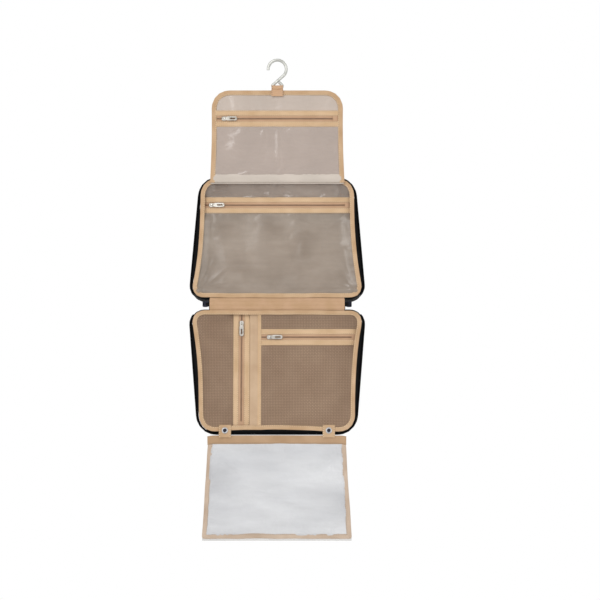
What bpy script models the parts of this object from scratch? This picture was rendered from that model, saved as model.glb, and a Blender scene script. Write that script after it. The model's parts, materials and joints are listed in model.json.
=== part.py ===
"""Hanging toiletry bag: a two-half clamshell case that opens flat below a zipped flap,
with a pouch on two snap tabs under it and a wire hook above it.

X runs to the right, the pockets face -Y and Z is up. The origin is the seat inside the top of
the hook's bow, in the hook's own plane. All sizes are in metres.
"""
import math

import bmesh
import bpy
from mathutils import Matrix, Vector

# Gap kept between two pieces that touch.
CLEARANCE = 0.0003

# Wire hook.
WIRE_DIAMETER = 0.0048
BOW_INNER_DIAMETER = 0.0239
HOOK_HEIGHT = 0.0439
HOOK_BASE_WIDTH = 0.0236
BEND_INSIDE_RADIUS = 0.0002
TIP_ANGLE = 186.0
BOW_END_ANGLE = -45.0
LEG_ANGLE = 135.0

# Strap that ties the hook to the flap.
STRAP_THICKNESS = 0.001
STRAP_WIDTH = 0.019
STRAP_TAIL = 0.0085
STRAP_CORNER = 0.0008
LOOP_NECK = 0.0046

# Flap.
FLAP_TOP_WIDTH = 0.210
FLAP_BOTTOM_WIDTH = 0.214
FLAP_HEIGHT = 0.1465
FLAP_CORNER = 0.029
FLAP_BINDING_WIDTH = 0.0078
FLAP_THICKNESS = 0.0024
FLAP_HINGE_BAND = 0.0135
FLAP_ZIP_DROP = 0.0449
FLAP_ZIP_SET_BACK = 0.0002
FLAP_COIL_END_GAP = 0.0004
FLAP_AXIS_FORWARD = 0.0015
FLAP_AXIS_DROP = 0.0013
FLAP_REST_GAP = 0.0004
HINGE_STRIP_HEIGHT = 0.0018
HINGE_STRIP_ROUND = 0.0003
PANE_THICKNESS = 0.0005

# Case halves. Both share one outline, mirrored at the spine.
CASE_HINGE_WIDTH = 0.278
CASE_FAR_WIDTH = 0.246
CASE_HEIGHT = 0.195
CASE_HINGE_CORNER = 0.022
CASE_FAR_CORNER = 0.030
UPPER_DEPTH = 0.045
LOWER_DEPTH = 0.040
CASE_WALL = 0.002
BACK_PANEL = 0.0022
BACK_FRONT_EDGE = 0.0002
BACK_REAR_EDGE = 0.0006
BACK_WIDEST_SHARE = 0.4
LINING_BOARD = 0.0016
RIM_BINDING_WIDTH = 0.007
RIM_BINDING_THICKNESS = 0.0016
RIM_BINDING_INSET = 0.0014
RIM_BINDING_SOFT_SHARE = 0.4
POCKET_RECESS = 0.0065
PERIMETER_TAPE_WIDTH = 0.009
PERIMETER_TAPE_THICKNESS = 0.001
PERIMETER_COIL = 0.0018
FLAP_OVERLAP = 0.009

# Spine between the halves.
SPINE_WIDTH = 0.0164
SPINE_LINING_LENGTH = 0.213
SPINE_COVER_LENGTH = 0.250
SPINE_LINING_THICKNESS = 0.001
SPINE_COVER_THICKNESS = 0.0012
SPINE_LINING_CORNER = 0.001
SPINE_COVER_CORNER = 0.004

# Pocket zips.
ZIP_TAPE_WIDTH = 0.0256
ZIP_TAPE_THICKNESS = 0.0008
ZIP_END_PATCH = 0.008
COIL_WIDTH = 0.003
COIL_HEIGHT = 0.0016
COIL_BEVEL_SHARE = 0.4
COIL_END_GAP = 0.0006
UPPER_ZIP_DROP = 0.044
LOWER_ZIP_DROP = 0.0438
VERTICAL_ZIP_X = -0.056
DIVIDER_WIDTH = 0.0182
PARTITION_THICKNESS = 0.001

# Zip sliders and their pulls. The shape gives shares of a slider's length and, there, of its width.
SLIDER_LENGTH = 0.0085
SLIDER_WIDTH = 0.0068
SLIDER_PLATE = 0.0008
SLIDER_SHAPE = ((-0.5, 0.40), (-0.3, 0.5), (0.1, 0.5), (0.5, 0.38))
SLIDER_EDGE = 0.0005
SLIDER_LEAST_WALL = 0.0003
BRIDGE_WIDTH = 0.0016
BRIDGE_THICKNESS = 0.0009
BRIDGE_INSIDE = 0.0013
PULL_LENGTH = 0.020
PULL_WIDTH = 0.0066
PULL_THICKNESS = 0.001
PULL_CORNER = 0.0026
PULL_SHOULDER = 0.0022
SHOULDER_CORNER = 0.0015
PULL_SLOT_LENGTH = 0.009
PULL_SLOT_WIDTH = 0.0022
PULL_SLOT_MARGIN = 0.0028
PULL_SLOT_ROUND_SHARE = 0.48
EYE_LENGTH = 0.0029
EYE_PLAY = 0.0007
EYE_CHEEK = 0.0008
EYE_CORNER = 0.0006
EYE_BAR_CORNER = 0.0003
SLIDER_END_MARGIN = 0.0125
PERIMETER_SLIDER_LENGTH = 0.0105
PERIMETER_SLIDER_WIDTH = 0.0092
PERIMETER_SLIDER_X = 0.1125

# Snap tabs and pouch.
TAB_SPACING = 0.162
TAB_WIDTH = 0.019
TAB_HEIGHT = 0.0165
TAB_THICKNESS = 0.0012
TAB_TOP_CORNER = 0.004
TAB_LOW_CORNER = 0.0005
SNAP_DIAMETER = 0.0098
SNAP_RISE = 0.0045
STUD_DIAMETER = 0.0044
STUD_STAND_OUT = 0.0005
STUD_CHAMFER = 0.0004
CAP_HEIGHT = 0.0012
CAP_EDGE = 0.0006
CAP_SIDE_SHARE = 0.5
CAP_SHOULDER_SHARE = 0.85
CAP_TOP_SHARE = 0.55
STUD_SIDES = 16
CAP_SIDES = 20
POUCH_TOP_WIDTH = 0.214
POUCH_BOTTOM_WIDTH = 0.235
POUCH_HEIGHT = 0.1645
POUCH_THICKNESS = 0.0054
POUCH_BAND = 0.0135
POUCH_BINDING_WIDTH = 0.008
POUCH_BAND_THICKNESS = 0.0008
POUCH_HEM = 0.0026
POUCH_DROP = 0.0035

# The case leans on the flap's fold, in degrees, until its weight lies below it. The pouch hangs plumb.
HANG_LEAN = 6.89

# How far a cutter reaches past the piece it cuts.
CUT_MARGIN = 0.001
CUT_REACH = 1.0

# Planes and axes worked out from the sizes above.
WIRE_RADIUS = WIRE_DIAMETER / 2
WIRE_BEND_RADIUS = WIRE_RADIUS + BEND_INSIDE_RADIUS
BOW_RADIUS = BOW_INNER_DIAMETER / 2 + WIRE_RADIUS
BOW_CENTRE_Z = -BOW_INNER_DIAMETER / 2
BAR_Z = BOW_CENTRE_Z + BOW_RADIUS - HOOK_HEIGHT
BOW_END_X = BOW_RADIUS * math.cos(math.radians(BOW_END_ANGLE))
BOW_END_Z = BOW_CENTRE_Z + BOW_RADIUS * math.sin(math.radians(BOW_END_ANGLE))
SHANK_ANGLE = math.atan2(BOW_END_Z - BAR_Z, BOW_END_X + HOOK_BASE_WIDTH / 2)
LOOP_HOLE_RADIUS = WIRE_RADIUS + CLEARANCE
LOOP_RADIUS = LOOP_HOLE_RADIUS + STRAP_THICKNESS
LOOP_END_REACH = (LOOP_HOLE_RADIUS + LOOP_RADIUS * math.cos(SHANK_ANGLE)) / math.sin(SHANK_ANGLE)
LOOP_WIDTH = HOOK_BASE_WIDTH - 2 * LOOP_END_REACH
STRAP_AXIS_Z = BAR_Z - LOOP_NECK
FLAP_Y = FLAP_THICKNESS / 2 + STRAP_THICKNESS / 2 + CLEARANCE
FLAP_TOP_Z = BAR_Z - WIRE_RADIUS - STRAP_THICKNESS - 2 * CLEARANCE
FLAP_BOTTOM_Z = FLAP_TOP_Z - FLAP_HEIGHT
FLAP_AXIS_Y = FLAP_Y - FLAP_AXIS_FORWARD
FLAP_AXIS_Z = FLAP_BOTTOM_Z - FLAP_AXIS_DROP
RIM_Y = FLAP_Y + FLAP_THICKNESS / 2 + RIM_BINDING_THICKNESS / 4 + FLAP_REST_GAP
RIM_FRONT_Y = RIM_Y - RIM_BINDING_THICKNESS / 4
UPPER_TOP_Z = FLAP_BOTTOM_Z + FLAP_OVERLAP
UPPER_HINGE_Z = UPPER_TOP_Z - CASE_HEIGHT
SPINE_TOP_AXIS_Z = UPPER_HINGE_Z - CLEARANCE
LOWER_HINGE_Z = UPPER_HINGE_Z - SPINE_WIDTH
SPINE_LOW_AXIS_Z = LOWER_HINGE_Z + CLEARANCE
LOWER_BOTTOM_Z = LOWER_HINGE_Z - CASE_HEIGHT
POCKET_Y = RIM_Y + POCKET_RECESS + PANE_THICKNESS
COIL_GAP = COIL_WIDTH / 2 + CLEARANCE
ZIP_HALF = ZIP_TAPE_WIDTH / 2 + CLEARANCE
POUCH_TOP_Z = LOWER_BOTTOM_Z - POUCH_DROP
POUCH_AXIS_Z = POUCH_TOP_Z + CLEARANCE
TAB_FRONT_Y = RIM_FRONT_Y - CLEARANCE - TAB_THICKNESS
POUCH_AXIS_Y = TAB_FRONT_Y - CLEARANCE
POUCH_FRONT_Y = TAB_FRONT_Y + TAB_THICKNESS
SNAP_Z = LOWER_BOTTOM_Z + SNAP_RISE

# How a slider and its pull are turned: along a level zip, down an upright one, or behind the spine.
ACROSS = Matrix.Rotation(math.pi / 2, 4, "X")
DOWN = Matrix(((0, 1, 0, 0), (0, 0, -1, 0), (-1, 0, 0, 0), (0, 0, 0, 1)))
BEHIND_RIGHT = Matrix.Rotation(-math.pi / 2, 4, "X")
BEHIND_LEFT = Matrix.Rotation(math.pi, 4, "Z") @ ACROSS

bodies = {}


def reset_scene():
    for old in list(bpy.data.objects):
        bpy.data.objects.remove(old, do_unlink=True)


def material(name, colour, roughness, metallic=0.0):
    made = bpy.data.materials.new(name)
    made.use_nodes = True
    shader = made.node_tree.nodes["Principled BSDF"]
    shader.inputs["Base Color"].default_value = (*colour, 1.0)
    shader.inputs["Roughness"].default_value = roughness
    shader.inputs["Metallic"].default_value = metallic
    return made


def make_body(name, pivot, parent=None, lean=0.0):
    """An empty on the joint's axis that carries one moving group of pieces, leaning forward."""
    empty = bpy.data.objects.new(name + "_pivot", None)
    bpy.context.scene.collection.objects.link(empty)
    pivot = Vector(pivot)
    if parent:
        empty.parent = bodies[parent][0]
        empty.location = pivot - bodies[parent][1]
    else:
        empty.location = pivot
    empty.rotation_euler.x = -math.radians(lean)
    bodies[name] = (empty, pivot)


def add_piece(name, bm, finish, body):
    """Close a bmesh built in world coordinates into an object that rides on its body."""
    empty, pivot = bodies[body]
    bmesh.ops.recalc_face_normals(bm, faces=bm.faces)
    bmesh.ops.translate(bm, verts=bm.verts, vec=-pivot)
    mesh = bpy.data.meshes.new(name)
    bm.to_mesh(mesh)
    bm.free()
    mesh.materials.append(finish)
    mesh.shade_smooth()
    mesh.set_sharp_from_angle(angle=math.radians(35))
    piece = bpy.data.objects.new(name, mesh)
    bpy.context.scene.collection.objects.link(piece)
    piece.parent = empty
    return piece


def place_copy(name, mesh, finish, body, matrix):
    """A copy of a shared mesh, set on its body by its own location and rotation."""
    empty, pivot = bodies[body]
    piece = bpy.data.objects.new(name, mesh.copy())
    piece.data.materials.clear()
    piece.data.materials.append(finish)
    bpy.context.scene.collection.objects.link(piece)
    piece.parent = empty
    piece.matrix_local = Matrix.Translation(-pivot) @ matrix
    return piece


def rounded(corners, radii, steps=5):
    """A polygon with each corner replaced by an arc, as a list of (across, up) points."""
    points = []
    count = len(corners)
    for index, (corner, radius) in enumerate(zip(corners, radii)):
        here = Vector(corner)
        before = (Vector(corners[index - 1]) - here).normalized()
        after = (Vector(corners[(index + 1) % count]) - here).normalized()
        if radius <= 0:
            points.append((here.x, here.y))
            continue
        half = before.angle(after) / 2
        centre = here + (before + after).normalized() * (radius / math.sin(half))
        first = here + before * (radius / math.tan(half)) - centre
        last = here + after * (radius / math.tan(half)) - centre
        for step in range(steps + 1):
            ray = first.lerp(last, step / steps).normalized() * radius
            points.append((centre.x + ray.x, centre.y + ray.y))
    return points


def clip(points, axis, limit, keep_below):
    """The part of a convex polygon on one side of a straight line across it."""
    sign = 1 if keep_below else -1
    kept = []
    for index, here in enumerate(points):
        before = points[index - 1]
        inside = sign * (here[axis] - limit) <= 0
        was_inside = sign * (before[axis] - limit) <= 0
        if inside != was_inside:
            share = (limit - before[axis]) / (here[axis] - before[axis])
            kept.append(tuple(a + (b - a) * share for a, b in zip(before, here)))
        if inside:
            kept.append(here)
    return kept


def between(points, axis, low, high):
    return clip(clip(points, axis, low, False), axis, high, True)


def rectangle(x_low, x_high, z_low, z_high):
    return [(x_low, z_low), (x_high, z_low), (x_high, z_high), (x_low, z_high)]


def loft(stations):
    """A solid through equal closed loops of 3D points, with its two ends filled."""
    bm = bmesh.new()
    loops = [[bm.verts.new(point) for point in loop] for loop in stations]
    bm.faces.new(loops[0])
    bm.faces.new(loops[-1][::-1])
    for low, high in zip(loops, loops[1:]):
        for index in range(len(low)):
            bm.faces.new((low[index - 1], low[index], high[index], high[index - 1]))
    return bm


def slab(sections):
    """A solid through (outline, y) pairs, closed at the first and the last."""
    return loft([[(x, y, z) for x, z in loop] for loop, y in sections])


def prism(loop, y_front, y_back):
    """An outline of (x, z) points, drawn out along Y into a closed slab."""
    return slab([(loop, y_front), (loop, y_back)])


def extrude_x(profile, x_low, x_high):
    """A profile of (y, z) points drawn out along X."""
    return loft([[(x, y, z) for y, z in profile] for x in (x_low, x_high)])


def ring(sections):
    """A closed band whose cross-section visits (outline, y) pairs in turn."""
    bm = bmesh.new()
    loops = [[bm.verts.new((x, y, z)) for x, z in loop] for loop, y in sections]
    for turn in range(len(loops)):
        inner, outer = loops[turn - 1], loops[turn]
        for index in range(len(inner)):
            bm.faces.new((inner[index - 1], inner[index], outer[index], outer[index - 1]))
    return bm


def turned(profile, centre, sides):
    """A closed profile of (radius, forward) points turned about the Y line through a centre."""
    bm = bmesh.new()
    loops = []
    for radius, forward in profile:
        if radius == 0:
            loops.append([bm.verts.new((centre[0], centre[1] - forward, centre[2]))])
            continue
        loop = []
        for side in range(sides):
            turn = math.tau * side / sides
            x = centre[0] + radius * math.cos(turn)
            z = centre[2] + radius * math.sin(turn)
            loop.append(bm.verts.new((x, centre[1] - forward, z)))
        loops.append(loop)
    for low, high in zip(loops, loops[1:]):
        for side in range(sides):
            after = (side + 1) % sides
            if len(low) == 1:
                bm.faces.new((low[0], high[side], high[after]))
            elif len(high) == 1:
                bm.faces.new((low[side], low[after], high[0]))
            else:
                bm.faces.new((low[side], low[after], high[after], high[side]))
    return bm


def local_mesh(name, bm):
    bmesh.ops.recalc_face_normals(bm, faces=bm.faces)
    mesh = bpy.data.meshes.new(name)
    bm.to_mesh(mesh)
    bm.free()
    return mesh


def combine(mesh, tool, operation):
    """The mesh left by a Boolean between two local meshes."""
    base = bpy.data.objects.new("boolean_base", mesh)
    other = bpy.data.objects.new("boolean_tool", tool)
    for helper in (base, other):
        bpy.context.scene.collection.objects.link(helper)
    cut = base.modifiers.new("cut", "BOOLEAN")
    cut.operation = operation
    cut.object = other
    bpy.context.view_layer.update()
    evaluated = base.evaluated_get(bpy.context.evaluated_depsgraph_get())
    result = bpy.data.meshes.new_from_object(evaluated)
    for helper in (base, other):
        bpy.data.objects.remove(helper, do_unlink=True)
    return result


def add_cut_piece(name, bm, tool, finish, body):
    """A piece with a tool's shape taken out of it."""
    cut = bmesh.new()
    cut.from_mesh(combine(local_mesh(name, bm), local_mesh(name + "_cut", tool), "DIFFERENCE"))
    add_piece(name, cut, finish, body)


def case_outline(inset):
    """Outline of a case half as (x, distance from the hinge edge), pulled in by an inset."""
    slope = (CASE_FAR_WIDTH - CASE_HINGE_WIDTH) / 2 / CASE_HEIGHT
    side_inset = inset * math.hypot(1, slope)
    low, high = inset, CASE_HEIGHT - inset
    near = CASE_HINGE_WIDTH / 2 + slope * low - side_inset
    far = CASE_HINGE_WIDTH / 2 + slope * high - side_inset
    corners = [(near, low), (far, high), (-far, high), (-near, low)]
    hinge_radius = CASE_HINGE_CORNER - inset
    far_radius = CASE_FAR_CORNER - inset
    return rounded(corners, [hinge_radius, far_radius, far_radius, hinge_radius])


def upper_outline(inset):
    return [(x, UPPER_HINGE_Z + rise) for x, rise in case_outline(inset)]


def lower_outline(inset):
    return [(x, LOWER_HINGE_Z - rise) for x, rise in case_outline(inset)]


def open_band(outline, outset_low, outset_high):
    """The strip beside a case outline that runs up both sides and round the far edge."""
    start = 3
    outer = outline(-outset_high)
    inner = outline(-outset_low)
    stop = len(outer) - start
    return outer[start:stop] + inner[start:stop][::-1]


def trapezoid(top_width, bottom_width, top_z, bottom_z, inset, top_corner):
    """Symmetrical outline with the given widths, pulled in at its sides and top corners."""
    corners = [
        (bottom_width / 2 - inset, bottom_z),
        (top_width / 2 - inset, top_z),
        (-top_width / 2 + inset, top_z),
        (-bottom_width / 2 + inset, bottom_z),
    ]
    return rounded(corners, [0, top_corner, top_corner, 0])


def hook_path():
    """Centre line of the hook from its tip over the bow, down the shank and round the base.

    The last leg climbs back and ends just short of the shank.
    """
    points = []
    bow_steps = 30
    for step in range(bow_steps + 1):
        turn = math.radians(TIP_ANGLE + (BOW_END_ANGLE - TIP_ANGLE) * step / bow_steps)
        points.append((BOW_RADIUS * math.cos(turn), BOW_CENTRE_Z + BOW_RADIUS * math.sin(turn)))
    base = HOOK_BASE_WIDTH / 2
    left = Vector((-base, BAR_Z))
    right = Vector((base, BAR_Z))
    shank = (left - Vector(points[-1])).normalized()
    leg = Vector((math.cos(math.radians(LEG_ANGLE)), math.sin(math.radians(LEG_ANGLE))))
    crossing = right + leg * (base * 2 / abs(leg.x - shank.x * leg.y / shank.y))
    leg_end = crossing - leg * (WIRE_RADIUS + 2 * CLEARANCE)
    corners = [points[-1], tuple(left), tuple(right), tuple(leg_end)]
    bent = rounded(corners, [0, WIRE_BEND_RADIUS, WIRE_BEND_RADIUS, 0], 8)
    return points + bent[1:]


def build_hook(finish):
    curve = bpy.data.curves.new("hanger_hook", "CURVE")
    curve.dimensions = "3D"
    curve.bevel_depth = WIRE_RADIUS
    curve.bevel_resolution = 4
    curve.use_fill_caps = True
    path = hook_path()
    spline = curve.splines.new("POLY")
    spline.points.add(len(path) - 1)
    for point, (x, z) in zip(spline.points, path):
        point.co = (x, 0.0, z, 1.0)
    curve.materials.append(finish)
    hook = bpy.data.objects.new("hanger_hook", curve)
    bpy.context.scene.collection.objects.link(hook)
    hook.parent = bodies["hook"][0]


def build_strap(finish):
    """The loop round the hook's bar, with a neck down to the fold at the flap's top edge."""
    hole = LOOP_HOLE_RADIUS
    outside = LOOP_RADIUS
    neck_half = STRAP_THICKNESS / 2
    neck_drop = LOOP_NECK - CLEARANCE
    corner = math.atan2(neck_half, neck_drop)
    side = math.asin(neck_half / outside)
    steps = 24
    round_turns = [side + (math.tau - 2 * side) * step / steps for step in range(steps + 1)]
    outer = []
    inner = []
    for turn in round_turns:
        outer.append((outside * math.sin(turn), BAR_Z - outside * math.cos(turn)))
        inner.append((hole * math.sin(turn), BAR_Z - hole * math.cos(turn)))
    for sign in (-1, 1):
        outer.append((sign * neck_half, BAR_Z - neck_drop))
        inner.append((sign * hole * math.sin(corner), BAR_Z - hole * math.cos(corner)))
    bm = bmesh.new()
    loops = []
    for profile, x in ((outer, -1), (outer, 1), (inner, 1), (inner, -1)):
        loops.append([bm.verts.new((x * LOOP_WIDTH / 2, y, z)) for y, z in profile])
    for turn in range(len(loops)):
        low, high = loops[turn - 1], loops[turn]
        for index in range(len(low)):
            bm.faces.new((low[index - 1], low[index], high[index], high[index - 1]))
    add_piece("hook_strap_loop", bm, finish, "strap")
    tail_top = STRAP_AXIS_Z - CLEARANCE
    sides = rectangle(-STRAP_WIDTH / 2, STRAP_WIDTH / 2, tail_top - STRAP_TAIL, tail_top)
    tail = rounded(sides, [STRAP_CORNER] * 4, 2)
    add_piece("hook_strap_tail", prism(tail, -STRAP_THICKNESS / 2, STRAP_THICKNESS / 2), finish, "flap")


def zip_tapes(name, outline, axis, centre, last, y_back, finish, body):
    """Both tapes of a zip, cut from the pocket outline and joined by the end patch past the coil."""
    half = ZIP_TAPE_WIDTH / 2
    front = y_back - ZIP_TAPE_THICKNESS
    band = between(outline, axis, centre - half, centre + half)
    along = 1 - axis
    middle = sum(point[along] for point in band) / len(band)
    far = last + CUT_REACH if last < middle else last - CUT_REACH
    run = (min(last, far), max(last, far))
    span = (centre - COIL_GAP, centre + COIL_GAP)
    slot = rectangle(*run, *span) if axis else rectangle(*span, *run)
    tool = prism(slot, front - CUT_MARGIN, y_back + CUT_MARGIN)
    add_cut_piece(name, prism(band, front, y_back), tool, finish, body)


def coil_bar(low, high, centre, y_back, upright=False):
    """The closed coil: a low bar with chamfered front edges along X, or along Z if upright."""
    half = COIL_WIDTH / 2
    bevel = COIL_HEIGHT * COIL_BEVEL_SHARE
    flat = half - bevel
    shoulder = COIL_HEIGHT - bevel
    section = [(-half, 0), (half, 0), (half, shoulder), (flat, COIL_HEIGHT), (-flat, COIL_HEIGHT),
               (-half, shoulder)]
    stations = []
    for along in (low, high):
        if upright:
            stations.append([(centre + w, y_back - n, along) for w, n in section])
        else:
            stations.append([(along, y_back - n, centre + w) for w, n in section])
    return loft(stations)


def slider_heights():
    """Channel floor, channel roof, plate top and pull axis, measured out from the tape's back."""
    floor = ZIP_TAPE_THICKNESS + CLEARANCE
    roof = COIL_HEIGHT + CLEARANCE
    top = roof + SLIDER_PLATE
    axis = top + CLEARANCE + PULL_THICKNESS / 2
    return floor, roof, top, axis


def slider_mesh(length, width):
    """Slider body over the coil, tapered to its nose and tail, with the bridge that holds the pull."""
    floor, roof, top, axis = slider_heights()
    stations = []
    for run, breadth in SLIDER_SHAPE:
        half = width * breadth
        edge = min(SLIDER_EDGE, half - COIL_GAP - SLIDER_LEAST_WALL)
        right = [(COIL_GAP, roof), (COIL_GAP, floor), (half, floor), (half, top - edge), (half - edge, top)]
        left = [(-w, n) for w, n in reversed(right)]
        stations.append([(length * run, w, n) for w, n in right + left])
    body = local_mesh("slider_body", loft(stations))
    outer = BRIDGE_INSIDE + BRIDGE_THICKNESS
    spring = axis + PULL_THICKNESS / 2 + CLEARANCE - BRIDGE_INSIDE
    foot = top - SLIDER_PLATE / 2
    steps = 8
    arch = []
    for radius, first in ((outer, 1), (BRIDGE_INSIDE, -1)):
        arch.append((first * radius, foot))
        for step in range(steps + 1):
            turn = math.pi * step / steps
            arch.append((first * radius * math.cos(turn), spring + radius * math.sin(turn)))
        arch.append((-first * radius, foot))
    half = BRIDGE_WIDTH / 2
    bridge = local_mesh("slider_bridge", loft([[(u, w, n) for u, n in arch] for w in (-half, half)]))
    return combine(body, bridge, "UNION")


def pull_mesh(length, width):
    """Slotted pull tab whose eye bar lies on the local origin, pointing along +X."""
    half_bar = PULL_THICKNESS / 2
    eye_half = BRIDGE_WIDTH / 2 + EYE_PLAY
    cheek = eye_half + EYE_CHEEK
    half = width / 2
    shoulder = EYE_LENGTH + PULL_SHOULDER
    upper = [(length, half), (shoulder, half), (EYE_LENGTH, cheek), (-half_bar, cheek)]
    lower = [(u, -w) for u, w in reversed(upper)]
    radii = [PULL_CORNER, SHOULDER_CORNER, EYE_CORNER, EYE_BAR_CORNER]
    plate = rounded(upper + lower, radii + radii[::-1], 3)

    def sheet(loop, rise):
        return local_mesh("sheet", loft([[(u, w, n) for u, w in loop] for n in (-rise, rise)]))

    eye = rectangle(half_bar, EYE_LENGTH, -eye_half, eye_half)
    slot_end = length - PULL_SLOT_MARGIN
    slot_sides = rectangle(slot_end - PULL_SLOT_LENGTH, slot_end, -PULL_SLOT_WIDTH / 2, PULL_SLOT_WIDTH / 2)
    slot = rounded(slot_sides, [PULL_SLOT_WIDTH * PULL_SLOT_ROUND_SHARE] * 4, 3)
    shape = combine(sheet(plate, half_bar), sheet(eye, PULL_THICKNESS), "DIFFERENCE")
    return combine(shape, sheet(slot, PULL_THICKNESS), "DIFFERENCE")


def add_slider(name, parent, spot, turn, meshes, finish):
    """One slider on its coil and the pull on its bridge, each on its own joint axis."""
    x, y_back, z = spot
    pull_spot = (x, y_back - slider_heights()[3], z)
    make_body(name + "_slider", spot, parent)
    place_copy(name + "_slider", meshes[0], finish, name + "_slider", Matrix.Translation(spot) @ turn)
    make_body(name + "_pull", pull_spot, name + "_slider")
    place_copy(name + "_pull", meshes[1], finish, name + "_pull", Matrix.Translation(pull_spot) @ turn)


def build_flap(tan, clear, pale, coil, meshes, metal):
    def outline(inset):
        return trapezoid(FLAP_TOP_WIDTH, FLAP_BOTTOM_WIDTH, FLAP_TOP_Z - inset, FLAP_BOTTOM_Z, inset,
                         FLAP_CORNER - inset)

    front_y = FLAP_Y - FLAP_THICKNESS / 2
    rear_y = FLAP_Y + FLAP_THICKNESS / 2
    binding = outline(0) + outline(FLAP_BINDING_WIDTH)[::-1]
    add_piece("flap_binding", prism(binding, front_y, rear_y), tan, "flap")
    seat = FLAP_BINDING_WIDTH + CLEARANCE
    field = outline(seat)
    add_piece("flap_back_panel", prism(field, rear_y - PANE_THICKNESS, rear_y), clear, "flap")
    zip_z = FLAP_TOP_Z - FLAP_ZIP_DROP
    zip_back = FLAP_Y + FLAP_ZIP_SET_BACK
    band_z = FLAP_BOTTOM_Z + FLAP_HINGE_BAND
    pane = (zip_back - PANE_THICKNESS, zip_back)
    add_piece("flap_top_pane", prism(clip(field, 1, zip_z + ZIP_HALF, False), *pane), clear, "flap")
    low_pane = between(field, 1, band_z + CLEARANCE, zip_z - ZIP_HALF)
    add_piece("flap_pocket_pane", prism(low_pane, *pane), clear, "flap")
    add_piece("flap_hinge_band", prism(clip(field, 1, band_z, True), front_y, zip_back), pale, "flap")
    reach = FLAP_TOP_WIDTH / 2 - seat - FLAP_COIL_END_GAP
    last = reach - ZIP_END_PATCH
    zip_tapes("flap_zip_tapes", field, 1, zip_z, last, zip_back, tan, "flap")
    add_piece("flap_zip_coil", coil_bar(-reach, last - CLEARANCE, zip_z, zip_back), coil, "flap")
    start = (-reach + SLIDER_END_MARGIN, zip_back, zip_z)
    add_slider("flap_zip", "flap", start, ACROSS, meshes, metal)


def build_half(side, outline, depth, body, black, tan, lining):
    """The walls, lining, rim and opened perimeter zip that both halves share."""
    rim_back = RIM_FRONT_Y + RIM_BINDING_THICKNESS
    wall_front = rim_back + CLEARANCE
    back = RIM_Y + depth
    panel_front = back - BACK_PANEL
    wall_back = panel_front - CLEARANCE
    wall = ring([(outline(0), wall_front), (outline(0), wall_back),
                 (outline(CASE_WALL), wall_back), (outline(CASE_WALL), wall_front)])
    add_piece(side + "_gusset", wall, black, body)
    widest = panel_front + BACK_PANEL * BACK_WIDEST_SHARE
    panel = slab([(outline(BACK_FRONT_EDGE), panel_front), (outline(0), widest),
                  (outline(BACK_REAR_EDGE), back)])
    add_piece(side + "_back_panel", panel, black, body)
    board = prism(outline(CASE_WALL + CLEARANCE), wall_back - LINING_BOARD, wall_back)
    add_piece(side + "_lining_board", board, lining, body)
    edge = RIM_BINDING_INSET
    inner = edge + RIM_BINDING_WIDTH
    soft = RIM_BINDING_THICKNESS * RIM_BINDING_SOFT_SHARE
    binding = ring([(outline(edge), RIM_FRONT_Y + soft), (outline(edge), rim_back),
                    (outline(inner), rim_back), (outline(inner), RIM_FRONT_Y + soft),
                    (outline(inner - soft), RIM_FRONT_Y), (outline(edge + soft), RIM_FRONT_Y)])
    add_piece(side + "_rim_binding", binding, tan, body)
    tape_back = wall_front + PERIMETER_TAPE_WIDTH
    tape = open_band(outline, CLEARANCE, CLEARANCE + PERIMETER_TAPE_THICKNESS)
    chain = open_band(outline, CLEARANCE, CLEARANCE + PERIMETER_COIL)
    chain_front = tape_back + PERIMETER_COIL / 3
    perimeter = slab([(tape, wall_front), (tape, tape_back), (chain, chain_front),
                      (chain, chain_front + PERIMETER_COIL)])
    add_piece(side + "_perimeter_zip", perimeter, black, body)


def build_hinge_strip(tan):
    """Rounded strip on the upper rim that the flap turns about."""
    back = RIM_FRONT_Y - CLEARANCE
    half = HINGE_STRIP_HEIGHT / 2
    bow = FLAP_AXIS_Y - half
    upper = [(back, half), (FLAP_AXIS_Y, half), (bow + HINGE_STRIP_ROUND, half - HINGE_STRIP_ROUND)]
    lower = [(y, -rise) for y, rise in reversed(upper)]
    profile = [(y, FLAP_AXIS_Z + rise) for y, rise in upper + [(bow, 0)] + lower]
    reach = FLAP_BOTTOM_WIDTH / 2
    add_piece("flap_hinge_strip", extrude_x(profile, -reach, reach), tan, "upper_case")


def build_upper(tan, clear, frosted, black, lining, coil, meshes, metal):
    build_half("upper", upper_outline, UPPER_DEPTH, "upper_case", black, tan, lining)
    field = upper_outline(CASE_WALL + CLEARANCE)
    zip_z = UPPER_TOP_Z - UPPER_ZIP_DROP
    pane = (POCKET_Y - PANE_THICKNESS, POCKET_Y)
    strip = prism(clip(field, 1, zip_z + ZIP_HALF, False), *pane)
    add_piece("upper_clear_strip", strip, clear, "upper_case")
    pocket = prism(clip(field, 1, zip_z - ZIP_HALF, True), *pane)
    add_piece("upper_pocket_pane", pocket, frosted, "upper_case")
    level = between(field, 1, zip_z - COIL_GAP, zip_z + COIL_GAP)
    reach = max(x for x, z in level) - COIL_END_GAP
    last = reach - RIM_BINDING_WIDTH - ZIP_END_PATCH
    zip_tapes("upper_zip_tapes", field, 1, zip_z, last, POCKET_Y, tan, "upper_case")
    chain = coil_bar(-reach, last - CLEARANCE, zip_z, POCKET_Y)
    add_piece("upper_zip_coil", chain, coil, "upper_case")
    start = (-reach + RIM_BINDING_WIDTH + SLIDER_END_MARGIN, POCKET_Y, zip_z)
    add_slider("upper_zip", "upper_case", start, ACROSS, meshes, metal)
    build_hinge_strip(tan)


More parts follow.
